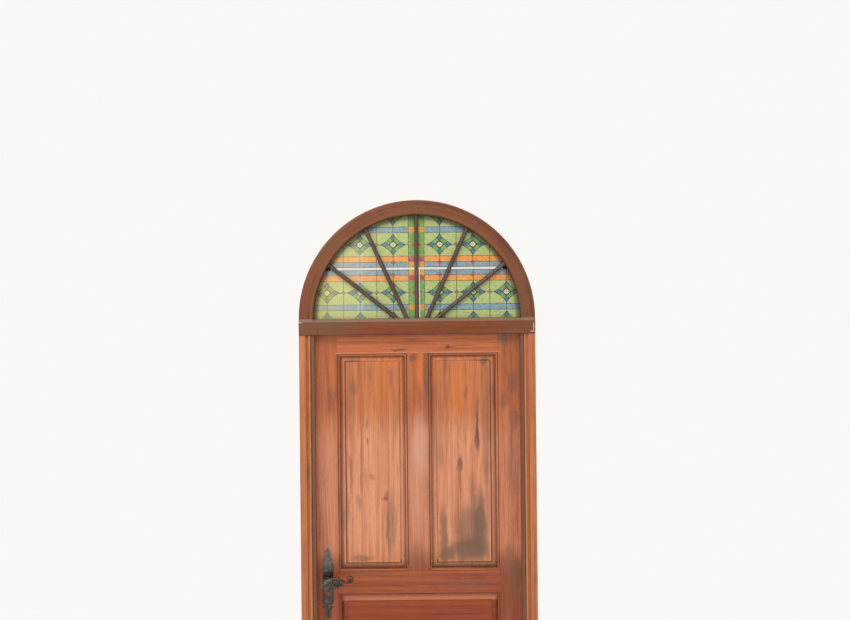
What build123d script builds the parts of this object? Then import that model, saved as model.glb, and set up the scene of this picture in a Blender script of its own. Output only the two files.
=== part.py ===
from build123d import *
import os
from math import cos, radians, sin

# Arched wooden door in its frame. Millimetres, +Z up, +X to the right seen
# from the room. The origin is on the floor below the middle of the leaf's
# thickness, and the room side faces -Y. The leaf opens away from the room.

os.makedirs("parts", exist_ok=True)

# Leaf
leaf_width = 825
leaf_height = 2030
leaf_thickness = 40
floor_gap = 5
side_gap = 3
top_gap = 3
stile_width = 94
top_rail_height = 85
lock_rail_low = 1000.5
lock_rail_height = 87
bottom_rail_height = 180
mullion_width = 83

# Frame
stop_lap = 10
stop_gap = 0.5
stop_depth = 31.5
back_reveal = 2
jamb_face = 59.5
transom_height = 63
transom_proud = 3
slope_height = 12
slope_depth = 13
arch_face = 55
arch_arris = 3

# Moulded front of the jamb, from the outside in
band_width = 26
cove_width = 10
cove_depth = 7
cove_hollow = 0.6
bead_width = 8
quirk_width = 3.5
quirk_depth = 8
fillet_depth = 6

# Fanlight
glass_thickness = 4
glass_depth = 30
rebate_width = 11
glass_edge_gap = 3
glass_sink = 8
glass_rest = 0.3
bead_face = 26
bead_depth = 14
bead_gap = 0.2
bead_rise = 2
bar_gap = 0.1
bar_width = 16.5
bar_depth = 12
bar_nose = 9
bar_step = 1.5
bar_pitch = 39.5
bar_names = ("bar_left_low", "bar_left_steep", "bar_centre", "bar_right_steep", "bar_right_low")
bar_leans = (-51.5, -24.5, 0, 24.5, 51.5)

# Printed film on the pane: rows are measured from the seam, up and down
film_sheet = 0.3
film_ink = 0.2
film_edge_gap = 0.5
seam_height = 196.5
seam_width = 8
seam_x = 11
seam_x_width = 3
line_width = 2
column_first = 92
column_pitch = 131.4
row_near = 94.5
row_far = 211.5
star_half_width = 52.5
star_half_height = 42.5
star_waist_x = 20.5
star_waist_z = 17.5
core_half_width = 16
core_half_height = 14.5
centre_band_half = 32
blue_from = 7
blue_to = 25
orange_from = 27
orange_to = 48
single_blue_row = 153
single_blue_height = 20
row_diamond = 6.7
boundary_diamond_width = 6
boundary_diamond_height = 5
centre_diamond_width = 24
centre_diamond_height = 14

# Stuck moulding and panels of the leaf
quirk = 1.5
ovolo = 9
groove_depth = 12
groove_width = 8.4
tongue_reach = 10
tongue_thickness = 8
field_margin = 33
field_set_back = 8
field_shoulder = 2.5

# Tenons
tenon_thickness = 12
tenon_length = 60
tenon_fit = 0.2
tenon_shoulder = 10
twin_tenon_thickness = 6
twin_tenon_clear = 1.5
mullion_tenon_length = 45
mullion_tenon_width = 55
jamb_tenon_length = 30
jamb_tenon_width = 20
jamb_tenon_depth = 30
jamb_tenon_back = 22
jamb_tenon_side = 10
arch_tenon_width = 28
arch_tenon_thickness = 12
arch_tenon_length = 40
arch_tenon_side = 22

# Frame fixing holes
fixing_hole_radius = 5
fixing_low = 320
fixing_below_head = 95
fixing_count = 4

# Hinges
hinge_inset = 175
hinge_names = ("bottom", "middle", "top")
hinge_length = 110
hinge_plate = 2.5
hinge_plate_width = 28
knuckle_stand = 9
barrel_radius = 6
pin_radius = 3
pin_fit = 0.06
frame_barrel_length = 56
knuckle_gap = 0.3
barrel_cap = 4
pin_top_gap = 1

# Lock furniture
backset = 50
spindle_rise = 67.5
spindle_side = 8
spindle_fit = 0.1
spindle_reach = 39
bore_radius = 10
plate_drop = 26
plate_thickness = 2.5
plate_half_width = 21.5
plate_straight = 76
plate_shoulder = (13, 79)
plate_neck = (10, 85)
plate_barb_foot = (14, 87)
plate_barb = (21, 91)
plate_barb_back = (12, 95)
plate_tip_neck = (9.5, 103)
plate_spear = (11.3, 113)
plate_half_length = 137.8
cut_out_drop = 42
cut_out_radius = 10.5
cut_out_leg_width = 10
cut_out_leg_drop = 62
collar_radius = 17
collar_height = 5
neck_radius = 8
neck_gap = 0.3

# Cast lever: places are measured from the spindle's axis
lever_stand = 43
lever_thickness = 13
lever_arris = 2
lever_root_reach = 1
scroll_x = 93
scroll_z = 10
scroll_radius = 13
scroll_dish = 8.5
scroll_dish_depth = 3
volute_x = -4
volute_z = -14
volute_radius = 12
lever_root = (-14, -8)
lever_crest = ((4, 8), (30, 11), (47, 16.5), (64, 9), (72, 2.5), (85, 1))
lever_under = ((92, -2), (83, -6), (74, -5))
drop_tips = ((71, -12), (64, -18), (54, -24), (42, -28), (28, -28), (13, -26))
drop_notches = ((66, -10), (57, -14), (47, -17), (35, -18), (21, -18), (7, -18))

# Latch
bolt_throw = 9.5
bolt_height = 16
bolt_thickness = 11.8
bolt_head_length = 25
bolt_nose = 3.5
bolt_gap = 0.3
tail_thickness = 6
tail_height = 3
tail_rise = 19
tail_web = 5
lug_length = 4
lug_gap = 0.4
lug_low = 12
hub_radius = 9
hub_fit = 0.06
hub_end_gap = 0.1
cam_radius = 15
cam_nose = 2.5
cam_thickness = 7
forend_thickness = 3
forend_width = 22
forend_height = 150
case_thickness = 16
case_wall = 1.5
case_depth = 74.5
case_below = 16
case_above = 27
case_fit = 0.2
strike_thickness = 2
strike_height = 110
strike_width = 36
strike_mouth_gap = 1
strike_pocket = 12

# Worked out from the sizes above
leaf_half = leaf_width / 2
leaf_top = floor_gap + leaf_height
leaf_face = leaf_thickness / 2
stile_in = leaf_half - stile_width
rebate_x = leaf_half + side_gap
rebate_z = leaf_top + top_gap
stop_x = leaf_half - stop_lap
stop_z = leaf_top - stop_lap
stop_y = -(leaf_face + stop_gap)
jamb_front = stop_y - stop_depth
glass_front = jamb_front + glass_depth
glass_back = glass_front + glass_thickness
bar_front = jamb_front + bar_depth
frame_back = leaf_face + back_reveal
frame_half = stop_x + jamb_face
transom_top = stop_z + transom_height
transom_front = jamb_front - transom_proud
arch_outer = frame_half
arch_inner = arch_outer - arch_face
rebate_radius = arch_inner + rebate_width
glass_radius = rebate_radius - glass_edge_gap
glass_bottom = transom_top - glass_sink
glass_seat = glass_bottom - glass_rest
bead_back = glass_back + bead_depth
bead_inner = rebate_radius - bead_face
stick = quirk + ovolo
mullion_half = mullion_width / 2
lock_rail_top = lock_rail_low + lock_rail_height
top_rail_low = leaf_top - top_rail_height
bottom_rail_top = floor_gap + bottom_rail_height
spindle_x = -(leaf_half - backset)
spindle_height = lock_rail_low + spindle_rise
spindle_end = leaf_face + spindle_reach
plate_height = spindle_height - plate_drop
plate_front = -(leaf_face + plate_thickness)
lever_back = -(leaf_face + lever_stand)
strike_front = frame_back - strike_width
hinge_x = leaf_half + side_gap / 2
hinge_y = leaf_face + knuckle_stand
hinge_plate_front = leaf_face - hinge_plate_width
hinge_low = floor_gap + hinge_inset
hinge_high = leaf_top - hinge_inset - hinge_length
hinge_heights = (hinge_low, (hinge_low + hinge_high) / 2, hinge_high)
fixing_step = (leaf_top - fixing_below_head - fixing_low) / (fixing_count - 1)
fixing_heights = [fixing_low + fixing_step * k for k in range(fixing_count)]

opening_upper_left = (-stile_in, -mullion_half, lock_rail_top, top_rail_low)
opening_upper_right = (mullion_half, stile_in, lock_rail_top, top_rail_low)
opening_lower = (-stile_in, stile_in, bottom_rail_top, lock_rail_low)


def facing(y):
    """The upright plane at y, seen from the room: local x is X and local y is Z."""
    return Plane.XZ.offset(-y)


def block(x, y, z, mode=Mode.ADD):
    """A box between the two values given for each direction."""
    with Locations(((x[0] + x[1]) / 2, (y[0] + y[1]) / 2, (z[0] + z[1]) / 2)):
        Box(abs(x[1] - x[0]), abs(y[1] - y[0]), abs(z[1] - z[0]), mode=mode)


def rod_along_y(x, z, radius, y, mode=Mode.ADD):
    """A round rod or hole along Y between the two values of y."""
    with Locations(Location((x, (y[0] + y[1]) / 2, z), (90, 0, 0))):
        Cylinder(radius, abs(y[1] - y[0]), mode=mode)


def rod_along_x(y, z, radius, x, mode=Mode.ADD):
    """A round rod or hole along X between the two values of x."""
    with Locations(Location(((x[0] + x[1]) / 2, y, z), (0, 90, 0))):
        Cylinder(radius, abs(x[1] - x[0]), mode=mode)


def rod_along_z(x, y, radius, z, mode=Mode.ADD):
    """A round rod or hole along Z between the two values of z."""
    with Locations((x, y, (z[0] + z[1]) / 2)):
        Cylinder(radius, abs(z[1] - z[0]), mode=mode)


# Jambs: one moulded stick each, with the leaf's rebate behind and a tenon on top
tenon_y = (jamb_front + jamb_tenon_back, jamb_front + jamb_tenon_back + jamb_tenon_depth)
tenon_x = (frame_half - jamb_tenon_side - jamb_tenon_width, frame_half - jamb_tenon_side)


def jamb_blank(side):
    """A jamb before the hardware is let in: side is -1 on the left and 1 on the right."""
    band_in = frame_half - band_width
    cove_in = band_in - cove_width
    bead_in = cove_in - bead_width
    quirk_in = bead_in - quirk_width
    bead_foot = jamb_front + bead_width / 2
    cove_floor = jamb_front + cove_depth
    with BuildPart() as blank:
        with BuildSketch(Plane.XY):
            with BuildLine():
                Polyline(
                    (side * band_in, cove_floor),
                    (side * band_in, jamb_front),
                    (side * frame_half, jamb_front),
                    (side * frame_half, frame_back),
                    (side * rebate_x, frame_back),
                    (side * rebate_x, stop_y),
                    (side * stop_x, stop_y),
                    (side * stop_x, jamb_front + fillet_depth),
                    (side * quirk_in, jamb_front + fillet_depth),
                    (side * quirk_in, jamb_front + quirk_depth),
                    (side * bead_in, jamb_front + quirk_depth),
                    (side * bead_in, bead_foot),
                )
                ThreePointArc(
                    (side * bead_in, bead_foot),
                    (side * (bead_in + bead_width / 2), jamb_front),
                    (side * cove_in, bead_foot),
                )
                ThreePointArc(
                    (side * cove_in, bead_foot),
                    (side * (cove_in + cove_width / 2), cove_floor - cove_hollow),
                    (side * band_in, cove_floor),
                )
            make_face()
        extrude(amount=stop_z)
        block((side * tenon_x[0], side * tenon_x[1]), tenon_y, (stop_z - 1, stop_z + jamb_tenon_length))
        for height in fixing_heights:
            reach = (side * (rebate_x - 1), side * (frame_half + 1))
            rod_along_x(0, height, fixing_hole_radius, reach, Mode.SUBTRACT)
    return blank.part


left_blank = jamb_blank(-1)
right_blank = jamb_blank(1)
strike_z = (spindle_height - strike_height / 2, spindle_height + strike_height / 2)
bolt_half_height = bolt_height / 2
bolt_half_thickness = bolt_thickness / 2
mouth_z = bolt_half_height + strike_mouth_gap
mouth_y = bolt_half_thickness + strike_mouth_gap

with BuildPart() as jamb_left:
    add(left_blank)
    strike_bed = (-rebate_x - strike_thickness, -rebate_x + 1)
    block(strike_bed, (strike_front, frame_back + 1), strike_z, Mode.SUBTRACT)
    block(
        (-rebate_x - strike_thickness - strike_pocket, -rebate_x),
        (-mouth_y, mouth_y),
        (spindle_height - mouth_z, spindle_height + mouth_z),
        Mode.SUBTRACT,
    )
jamb_left.part.label = "jamb_left"
export_step(jamb_left.part, "parts/jamb_left.step")

with BuildPart() as jamb_right:
    add(right_blank)
    for height in hinge_heights:
        bed = (rebate_x - 1, rebate_x + hinge_plate)
        block(bed, (hinge_plate_front, frame_back + 1), (height, height + hinge_length), Mode.SUBTRACT)
jamb_right.part.label = "jamb_right"
export_step(jamb_right.part, "parts/jamb_right.step")

# Transom rail: sloped above so that dust and water run off, rebated below for
# the leaf and behind for the pane
arch_tenon_x = [arch_outer - arch_tenon_side + across * arch_tenon_width / 2 for across in (-1, 1)]
arch_tenon_y = (-arch_tenon_thickness / 2, arch_tenon_thickness / 2)
arch_tenon_z = (transom_top - arch_tenon_length / 2, transom_top + arch_tenon_length / 2)

with BuildPart() as transom_rail:
    block((-frame_half, frame_half), (transom_front, frame_back), (stop_z, transom_top))
    block((-rebate_x, rebate_x), (stop_y, frame_back + 1), (stop_z - 1, rebate_z), Mode.SUBTRACT)
    pane_seat_z = (glass_seat, transom_top + 1)
    block((-rebate_radius, rebate_radius), (glass_front, frame_back + 1), pane_seat_z, Mode.SUBTRACT)
    with BuildSketch(Plane.YZ.offset(-arch_inner)):
        Polygon(
            (transom_front - 1, transom_top - slope_height),
            (transom_front, transom_top - slope_height),
            (transom_front + slope_depth, transom_top),
            (transom_front + slope_depth, transom_top + 1),
            (transom_front - 1, transom_top + 1),
        )
    extrude(amount=2 * arch_inner, mode=Mode.SUBTRACT)
    for side in (-1, 1):
        block(
            (side * (tenon_x[0] - tenon_fit), side * (tenon_x[1] + tenon_fit)),
            (tenon_y[0] - tenon_fit, tenon_y[1] + tenon_fit),
            (stop_z - 1, stop_z + jamb_tenon_length + tenon_fit),
            Mode.SUBTRACT,
        )
        x = (side * arch_tenon_x[0], side * arch_tenon_x[1])
        block(x, arch_tenon_y, (arch_tenon_z[0], transom_top + 1), Mode.SUBTRACT)
transom_rail.part.label = "transom_rail"
export_step(transom_rail.part, "parts/transom_rail.step")

# Arch head: a half ring with softened front edges and the pane's rebate behind
spring_axis = Axis((0, 0, transom_top), (0, -1, 0))

with BuildPart() as arch_head:
    with BuildSketch(Plane.XY.offset(transom_top)) as arch_section:
        Polygon(
            (arch_inner, transom_front),
            (arch_outer, transom_front),
            (arch_outer, frame_back),
            (rebate_radius, frame_back),
            (rebate_radius, glass_front),
            (arch_inner, glass_front),
        )
        chamfer(arch_section.vertices().group_by(Axis.Y)[0], arch_arris)
    revolve(axis=spring_axis, revolution_arc=180)
    for side in (-1, 1):
        x = (side * arch_tenon_x[0], side * arch_tenon_x[1])
        block(x, arch_tenon_y, (transom_top - 1, arch_tenon_z[1]), Mode.SUBTRACT)
arch_head.part.label = "arch_head"
export_step(arch_head.part, "parts/arch_head.step")

with BuildPart() as arch_tenons:
    for side in (-1, 1):
        block((side * arch_tenon_x[0], side * arch_tenon_x[1]), arch_tenon_y, arch_tenon_z)
arch_tenons.part.label = "arch_tenons"
export_step(arch_tenons.part, "parts/arch_tenons.step")

# Fanlight pane and the two beads that hold it from behind
with BuildPart() as fanlight_glass:
    with BuildSketch(facing(glass_back)):
        with Locations((0, transom_top)):
            Circle(glass_radius)
        with Locations((0, glass_bottom + glass_radius)):
            Rectangle(2 * glass_radius, 2 * glass_radius, mode=Mode.INTERSECT)
    extrude(amount=glass_thickness)
fanlight_glass.part.label = "fanlight_glass"
export_step(fanlight_glass.part, "parts/fanlight_glass.step")

with BuildPart() as glazing_bead_arch:
    with BuildSketch(Plane.XY.offset(transom_top)) as bead_section:
        Polygon(
            (bead_inner, glass_back),
            (rebate_radius - bead_gap, glass_back),
            (rebate_radius - bead_gap, bead_back),
            (bead_inner, bead_back),
        )
        chamfer(bead_section.vertices().group_by(Axis.Y)[-1].sort_by(Axis.X)[0], bead_depth / 3)
    revolve(axis=spring_axis, revolution_arc=180)
    for foot in glazing_bead_arch.faces().filter_by(Plane.XY).sort_by(Axis.Z)[:2]:
        extrude(foot, amount=transom_top - glass_seat)
glazing_bead_arch.part.label = "glazing_bead_arch"
export_step(glazing_bead_arch.part, "parts/glazing_bead_arch.step")

with BuildPart() as glazing_bead_sill:
    bead_end = bead_inner - bead_gap
    block((-bead_end, bead_end), (glass_back, bead_back), (glass_seat, transom_top + bead_rise))
glazing_bead_sill.part.label = "glazing_bead_sill"
export_step(glazing_bead_sill.part, "parts/glazing_bead_sill.step")

# Five glazing bars in front of the pane, standing on the transom rail and cut
# to the inside of the arch
film_front = glass_front - film_sheet - 2 * film_ink
bar_back = film_front - bar_gap
bar_half = bar_width / 2

for k, (name, lean) in enumerate(zip(bar_names, bar_leans)):
    foot = bar_pitch * (k - (len(bar_names) - 1) / 2)
    along = (sin(radians(lean)), 0, cos(radians(lean)))
    across = (cos(radians(lean)), 0, -sin(radians(lean)))
    section = Plane((foot, 0, transom_top), x_dir=across, z_dir=along).offset(-bar_width * 2)
    with BuildPart() as bar:
        with BuildSketch(section):
            with BuildLine():
                shoulder = bar_front + bar_nose
                Polyline(
                    (bar_half - bar_step, shoulder),
                    (bar_half, shoulder),
                    (bar_half, bar_back),
                    (-bar_half, bar_back),
                    (-bar_half, shoulder),
                    (-bar_half + bar_step, shoulder),
                )
                nose_half = bar_half - bar_step
                ThreePointArc((-nose_half, shoulder), (0, bar_front), (nose_half, shoulder))
            make_face()
        extrude(amount=arch_outer + bar_width * 2)
        with BuildSketch(facing(0)):
            with Locations((0, transom_top)):
                Circle(arch_inner)
            with Locations((0, transom_top + arch_inner)):
                Rectangle(2 * arch_inner, 2 * arch_inner, mode=Mode.INTERSECT)
        extrude(amount=-jamb_front, mode=Mode.INTERSECT)
    bar.part.label = name
    export_step(bar.part, f"parts/{name}.step")

# Printed film: thin sheets on the room side of the pane, with the print on them
# as fields of colour in the thinnest relief
sheet_front = glass_front - film_sheet
ink_front = sheet_front - film_ink
film_radius = arch_inner - film_edge_gap
seam_z = transom_top + seam_height
column_count = int((film_radius - column_first + star_half_width) / column_pitch) + 1
columns = [side * (column_first + column_pitch * k) for k in range(column_count) for side in (-1, 1)]
rows = [seam_z + step for step in (-row_far, -row_near, row_near, row_far)]
middle_rows = rows[1:3]
between_columns = [x - column_pitch / 2 * (1 if x > 0 else -1) for x in columns if abs(x) > column_first]

with BuildSketch(Plane.XY) as film_outline:
    with Locations((0, transom_top)):
        Circle(film_radius)
    with Locations((0, transom_top + film_edge_gap + film_radius)):
        Rectangle(2 * film_radius, 2 * film_radius, mode=Mode.INTERSECT)
    with Locations((0, seam_z)):
        Rectangle(2 * film_radius, seam_width, mode=Mode.SUBTRACT)
    with Locations((seam_x, transom_top + seam_height / 2)):
        Rectangle(seam_x_width, seam_height, mode=Mode.SUBTRACT)


def diamond(width, height):
    """A diamond about the present location, width and height from point to point."""
    Polygon((width / 2, 0), (0, height / 2), (-width / 2, 0), (0, -height / 2))


def star(margin):
    """A four-pointed star with hollow sides, drawn in by a margin."""
    reach_x = star_half_width - 3 * margin
    reach_z = star_half_height - 3 * margin
    waist_x = star_waist_x - margin * 0.7
    waist_z = star_waist_z - margin * 0.7
    with BuildLine() as sides:
        ThreePointArc((reach_x, 0), (waist_x, waist_z), (0, reach_z))
        ThreePointArc((0, reach_z), (-waist_x, waist_z), (-reach_x, 0))
        ThreePointArc((-reach_x, 0), (-waist_x, -waist_z), (0, -reach_z))
        ThreePointArc((0, -reach_z), (waist_x, -waist_z), (reach_x, 0))
    make_face(sides.edges())


# Fields of one star, about its middle: the lattice of four lines cuts it into
# a core, four sides and four tips
core_x = core_half_width + line_width
core_z = core_half_height + line_width
far = 4

with BuildSketch(Plane.XY) as star_plate:
    star(0)

with BuildSketch(Plane.XY) as star_tips:
    star(line_width / 2)
    with BuildSketch(mode=Mode.INTERSECT):
        for side in (-1, 1):
            wide_z = core_z * (far - 1)
            wide_x = core_x * (far - 1)
            Polygon((side * core_x, 0), (side * core_x * far, wide_z), (side * core_x * far, -wide_z))
            Polygon((0, side * core_z), (wide_x, side * core_z * far), (-wide_x, side * core_z * far))

with BuildSketch(Plane.XY) as star_sides:
    star(line_width / 2)
    with BuildSketch(mode=Mode.INTERSECT):
        arm_x = core_x - 2 * line_width
        arm_z = core_z - 2 * line_width
        for side_x in (-1, 1):
            for side_z in (-1, 1):
                Polygon(
                    (side_x * line_width, side_z * core_z),
                    (side_x * core_x, side_z * line_width),
                    (side_x * (core_x + arm_x), side_z * arm_z),
                    (side_x * arm_x, side_z * (core_z + arm_z)),
                )

with BuildPart() as film_sheets:
    with BuildSketch(facing(glass_front)):
        add(film_outline.sketch)
    extrude(amount=film_sheet)
film_sheets.part.label = "film_sheets"
export_step(film_sheets.part, "parts/film_sheets.step")

with BuildPart() as film_stars:
    with BuildSketch(facing(sheet_front)):
        with Locations([(x, z) for x in columns for z in rows]):
            add(star_plate.sketch)
        add(film_outline.sketch, mode=Mode.INTERSECT)
    extrude(amount=film_ink)
film_stars.part.label = "film_stars"
export_step(film_stars.part, "parts/film_stars.step")

with BuildPart() as film_blue:
    with BuildSketch(facing(ink_front)):
        with Locations([(x, z) for x in columns for z in rows]):
            add(star_tips.sketch)
        add(film_outline.sketch, mode=Mode.INTERSECT)
    extrude(amount=film_ink)
film_blue.part.label = "film_blue"
export_step(film_blue.part, "parts/film_blue.step")

band_reach = film_radius - centre_band_half
band_middle = centre_band_half + band_reach / 2
orange_middle = (orange_from + orange_to) / 2
blue_middle = (blue_from + blue_to) / 2
side_bands = [(side * band_middle, seam_z + up * blue_middle) for side in (-1, 1) for up in (-1, 1)]
single_z = [seam_z + up * single_blue_row for up in (-1, 1)]
single_bands = [(side * band_middle, z) for side in (-1, 1) for z in single_z]
orange_bands = [(side * band_middle, seam_z + up * orange_middle) for side in (-1, 1) for up in (-1, 1)]

with BuildPart() as film_light_blue:
    with BuildSketch(facing(sheet_front)):
        with Locations(side_bands):
            Rectangle(band_reach - 2 * line_width, blue_to - blue_from)
        with Locations(single_bands):
            Rectangle(band_reach - 2 * line_width, single_blue_height)
        add(film_outline.sketch, mode=Mode.INTERSECT)
    extrude(amount=film_ink)
film_light_blue.part.label = "film_light_blue"
export_step(film_light_blue.part, "parts/film_light_blue.step")

band_square = 2 * (centre_band_half - line_width)
with BuildPart() as film_orange:
    with BuildSketch(facing(sheet_front)):
        with Locations(orange_bands):
            Rectangle(band_reach - 2 * line_width, orange_to - orange_from)
        add(film_outline.sketch, mode=Mode.INTERSECT)
    extrude(amount=film_ink)
    with BuildSketch(facing(ink_front)):
        with Locations([(0, seam_z + up * blue_middle) for up in (-1, 1)]):
            Rectangle(band_square, blue_to - blue_from)
        with Locations([(0, z) for z in single_z]):
            Rectangle(band_square, single_blue_height)
        with Locations([(x, z) for x in between_columns for z in middle_rows]):
            diamond(2 * row_diamond, 2 * row_diamond)
        add(film_outline.sketch, mode=Mode.INTERSECT)
    extrude(amount=film_ink)
film_orange.part.label = "film_orange"
export_step(film_orange.part, "parts/film_orange.step")

with BuildPart() as film_green:
    with BuildSketch(facing(sheet_front)):
        with Locations((0, transom_top + film_radius / 2)):
            Rectangle(band_square, film_radius + line_width)
        add(film_outline.sketch, mode=Mode.INTERSECT)
    extrude(amount=film_ink)
    with BuildSketch(facing(ink_front)):
        with Locations([(x, z) for x in columns for z in rows]):
            add(star_sides.sketch)
        add(film_outline.sketch, mode=Mode.INTERSECT)
    extrude(amount=film_ink)
film_green.part.label = "film_green"
export_step(film_green.part, "parts/film_green.step")

boundary_z = (blue_to + orange_from) / 2
with BuildPart() as film_crimson:
    with BuildSketch(facing(ink_front)):
        with Locations([(0, seam_z + up * orange_middle) for up in (-1, 1)]):
            Rectangle(band_square, orange_to - orange_from)
        with Locations([(0, z) for z in middle_rows]):
            diamond(2 * centre_diamond_width, 2 * centre_diamond_height)
        with Locations([(x, seam_z + up * boundary_z) for x in columns for up in (-1, 1)]):
            diamond(2 * boundary_diamond_width, 2 * boundary_diamond_height)
        add(film_outline.sketch, mode=Mode.INTERSECT)
    extrude(amount=film_ink)
film_crimson.part.label = "film_crimson"
export_step(film_crimson.part, "parts/film_crimson.step")

with BuildPart() as film_cream:
    with BuildSketch(facing(ink_front)):
        with Locations([(x, z) for x in columns for z in middle_rows]):
            diamond(2 * (core_half_width - line_width), 2 * (core_half_height - line_width))
        add(film_outline.sketch, mode=Mode.INTERSECT)
    extrude(amount=film_ink)
film_cream.part.label = "film_cream"
export_step(film_cream.part, "parts/film_cream.step")

# Upright lines of the print, in the plain ground between the stars and bands
single_half = single_blue_height / 2 + line_width
plain_strips = (
    (transom_top + film_edge_gap, single_z[0] - single_half),
    (single_z[0] + single_half, seam_z - orange_to - line_width),
    (seam_z + orange_to + line_width, single_z[1] - single_half),
)
edge_heights = (blue_from - line_width / 2, boundary_z, orange_to + line_width / 2)
band_edges = [seam_z + up * height for up in (-1, 1) for height in edge_heights]
band_edges += [z + up * (single_half - line_width / 2) for z in single_z for up in (-1, 1)]

with BuildPart() as film_lines:
    with BuildSketch(facing(sheet_front)):
        for low, high in plain_strips:
            if high > low:
                with Locations([(x, (low + high) / 2) for x in between_columns]):
                    Rectangle(line_width, high - low)
        with Locations([(x, z) for x in (-band_middle, band_middle) for z in band_edges]):
            Rectangle(band_reach, line_width)
        edge_x = centre_band_half - line_width / 2
        with Locations([(side * edge_x, transom_top + film_radius / 2) for side in (-1, 1)]):
            Rectangle(line_width, film_radius)
        with Locations([(x, z) for x in columns for z in rows]):
            add(star_plate.sketch, mode=Mode.SUBTRACT)
        add(film_outline.sketch, mode=Mode.INTERSECT)
    extrude(amount=film_ink)
film_lines.part.label = "film_lines"
export_step(film_lines.part, "parts/film_lines.step")


# Leaf: framed members with a moulding stuck on every edge of an opening
def outline(opening, margin):
    """The rectangle of an opening, drawn in by a margin, on the present sketch."""
    x_low, x_high, z_low, z_high = opening
    with Locations(((x_low + x_high) / 2, (z_low + z_high) / 2)):
        Rectangle(x_high - x_low - 2 * margin, z_high - z_low - 2 * margin)


def stuck_edges(opening):
    """Left, right, lower and upper edge mouldings of an opening, mitred at its corners."""
    x_low, x_high, z_low, z_high = opening
    corners = ((x_low, z_low), (x_high, z_low), (x_high, z_high), (x_low, z_high))
    sight = (
        (x_low + stick, z_low + stick),
        (x_high - stick, z_low + stick),
        (x_high - stick, z_high - stick),
        (x_low + stick, z_high - stick),
    )
    moulded_face = leaf_face - quirk
    with BuildPart() as ring:
        with BuildSketch(facing(moulded_face)):
            outline(opening, 0)
            with BuildSketch(mode=Mode.SUBTRACT):
                outline(opening, stick)
        extrude(amount=2 * moulded_face)
        faces = ring.faces().filter_by(Axis.Y)
        mouths = [face.inner_wires()[0].edges() for face in faces]
        fillet([edge for mouth in mouths for edge in mouth], ovolo)
    edges = []
    for first, second in ((3, 0), (1, 2), (0, 1), (2, 3)):
        with BuildPart() as edge:
            add(ring.part)
            with BuildSketch(facing(leaf_face)):
                Polygon(corners[first], corners[second], sight[second], sight[first])
            extrude(amount=leaf_thickness, mode=Mode.INTERSECT)
        edges.append(edge.part)
    return edges


upper_left_edges = stuck_edges(opening_upper_left)
upper_right_edges = stuck_edges(opening_upper_right)
lower_edges = stuck_edges(opening_lower)


def plough(*openings):
    """Cut the panel grooves round these openings out of the present member."""
    margin = stick - groove_depth
    for x_low, x_high, z_low, z_high in openings:
        groove_x = (x_low + margin, x_high - margin)
        groove_z = (z_low + margin, z_high - margin)
        block(groove_x, (-groove_width / 2, groove_width / 2), groove_z, Mode.SUBTRACT)


top_tenon_z = (top_rail_low + tenon_shoulder, leaf_top - 2 * tenon_shoulder)
lock_tenon_z = (lock_rail_low + tenon_shoulder, lock_rail_top - tenon_shoulder)
bottom_tenon_z = (floor_gap + 2 * tenon_shoulder, bottom_rail_top - tenon_shoulder)
single_tenon_y = (-tenon_thickness / 2, tenon_thickness / 2)
twin_inside = case_thickness / 2 + twin_tenon_clear
twin_outside = twin_inside + twin_tenon_thickness
twin_tenons_y = ((-twin_outside, -twin_inside), (twin_inside, twin_outside))


def tenon(side, y, z):
    """A tenon on the end of a rail, reaching into the stile."""
    block((side * (stile_in - 1), side * (stile_in + tenon_length)), y, z)


def mortice(side, y, z):
    """The mortice for such a tenon, larger by the tenon's fit."""
    reach = (side * (stile_in - stick - 1), side * (stile_in + tenon_length + tenon_fit))
    y_wide = (y[0] - tenon_fit, y[1] + tenon_fit)
    block(reach, y_wide, (z[0] - tenon_fit, z[1] + tenon_fit), Mode.SUBTRACT)


case_x = (-leaf_half + forend_thickness, -leaf_half + forend_thickness + case_depth)
case_z = (spindle_height - case_below, spindle_height + case_above)
forend_z = (spindle_height - forend_height / 2, spindle_height + forend_height / 2)

with BuildPart() as stile_lock:
    block((-leaf_half, -stile_in), (-leaf_face, leaf_face), (floor_gap, leaf_top))
    add(upper_left_edges[0])
    add(lower_edges[0])
    plough(opening_upper_left, opening_lower)
    mortice(-1, single_tenon_y, top_tenon_z)
    for tenon_side in twin_tenons_y:
        mortice(-1, tenon_side, lock_tenon_z)
    mortice(-1, single_tenon_y, bottom_tenon_z)
    case_half = case_thickness / 2 + case_fit
    pocket_x = (-leaf_half - 1, case_x[1] + case_fit)
    block(pocket_x, (-case_half, case_half), (case_z[0] - case_fit, case_z[1] + case_fit), Mode.SUBTRACT)
    forend_bed = (-leaf_half - 1, -leaf_half + forend_thickness)
    block(forend_bed, (-forend_width / 2, forend_width / 2), forend_z, Mode.SUBTRACT)
    rod_along_y(spindle_x, spindle_height, bore_radius, (-leaf_face - 1, leaf_face + 1), Mode.SUBTRACT)
stile_lock.part.label = "stile_lock"
export_step(stile_lock.part, "parts/stile_lock.step")

with BuildPart() as stile_hinge:
    block((stile_in, leaf_half), (-leaf_face, leaf_face), (floor_gap, leaf_top))
    add(upper_right_edges[1])
    add(lower_edges[1])
    plough(opening_upper_right, opening_lower)
    mortice(1, single_tenon_y, top_tenon_z)
    mortice(1, single_tenon_y, lock_tenon_z)
    mortice(1, single_tenon_y, bottom_tenon_z)
    for height in hinge_heights:
        bed = (leaf_half - hinge_plate, leaf_half + 1)
        block(bed, (hinge_plate_front, leaf_face + 1), (height, height + hinge_length), Mode.SUBTRACT)
stile_hinge.part.label = "stile_hinge"
export_step(stile_hinge.part, "parts/stile_hinge.step")

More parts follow.
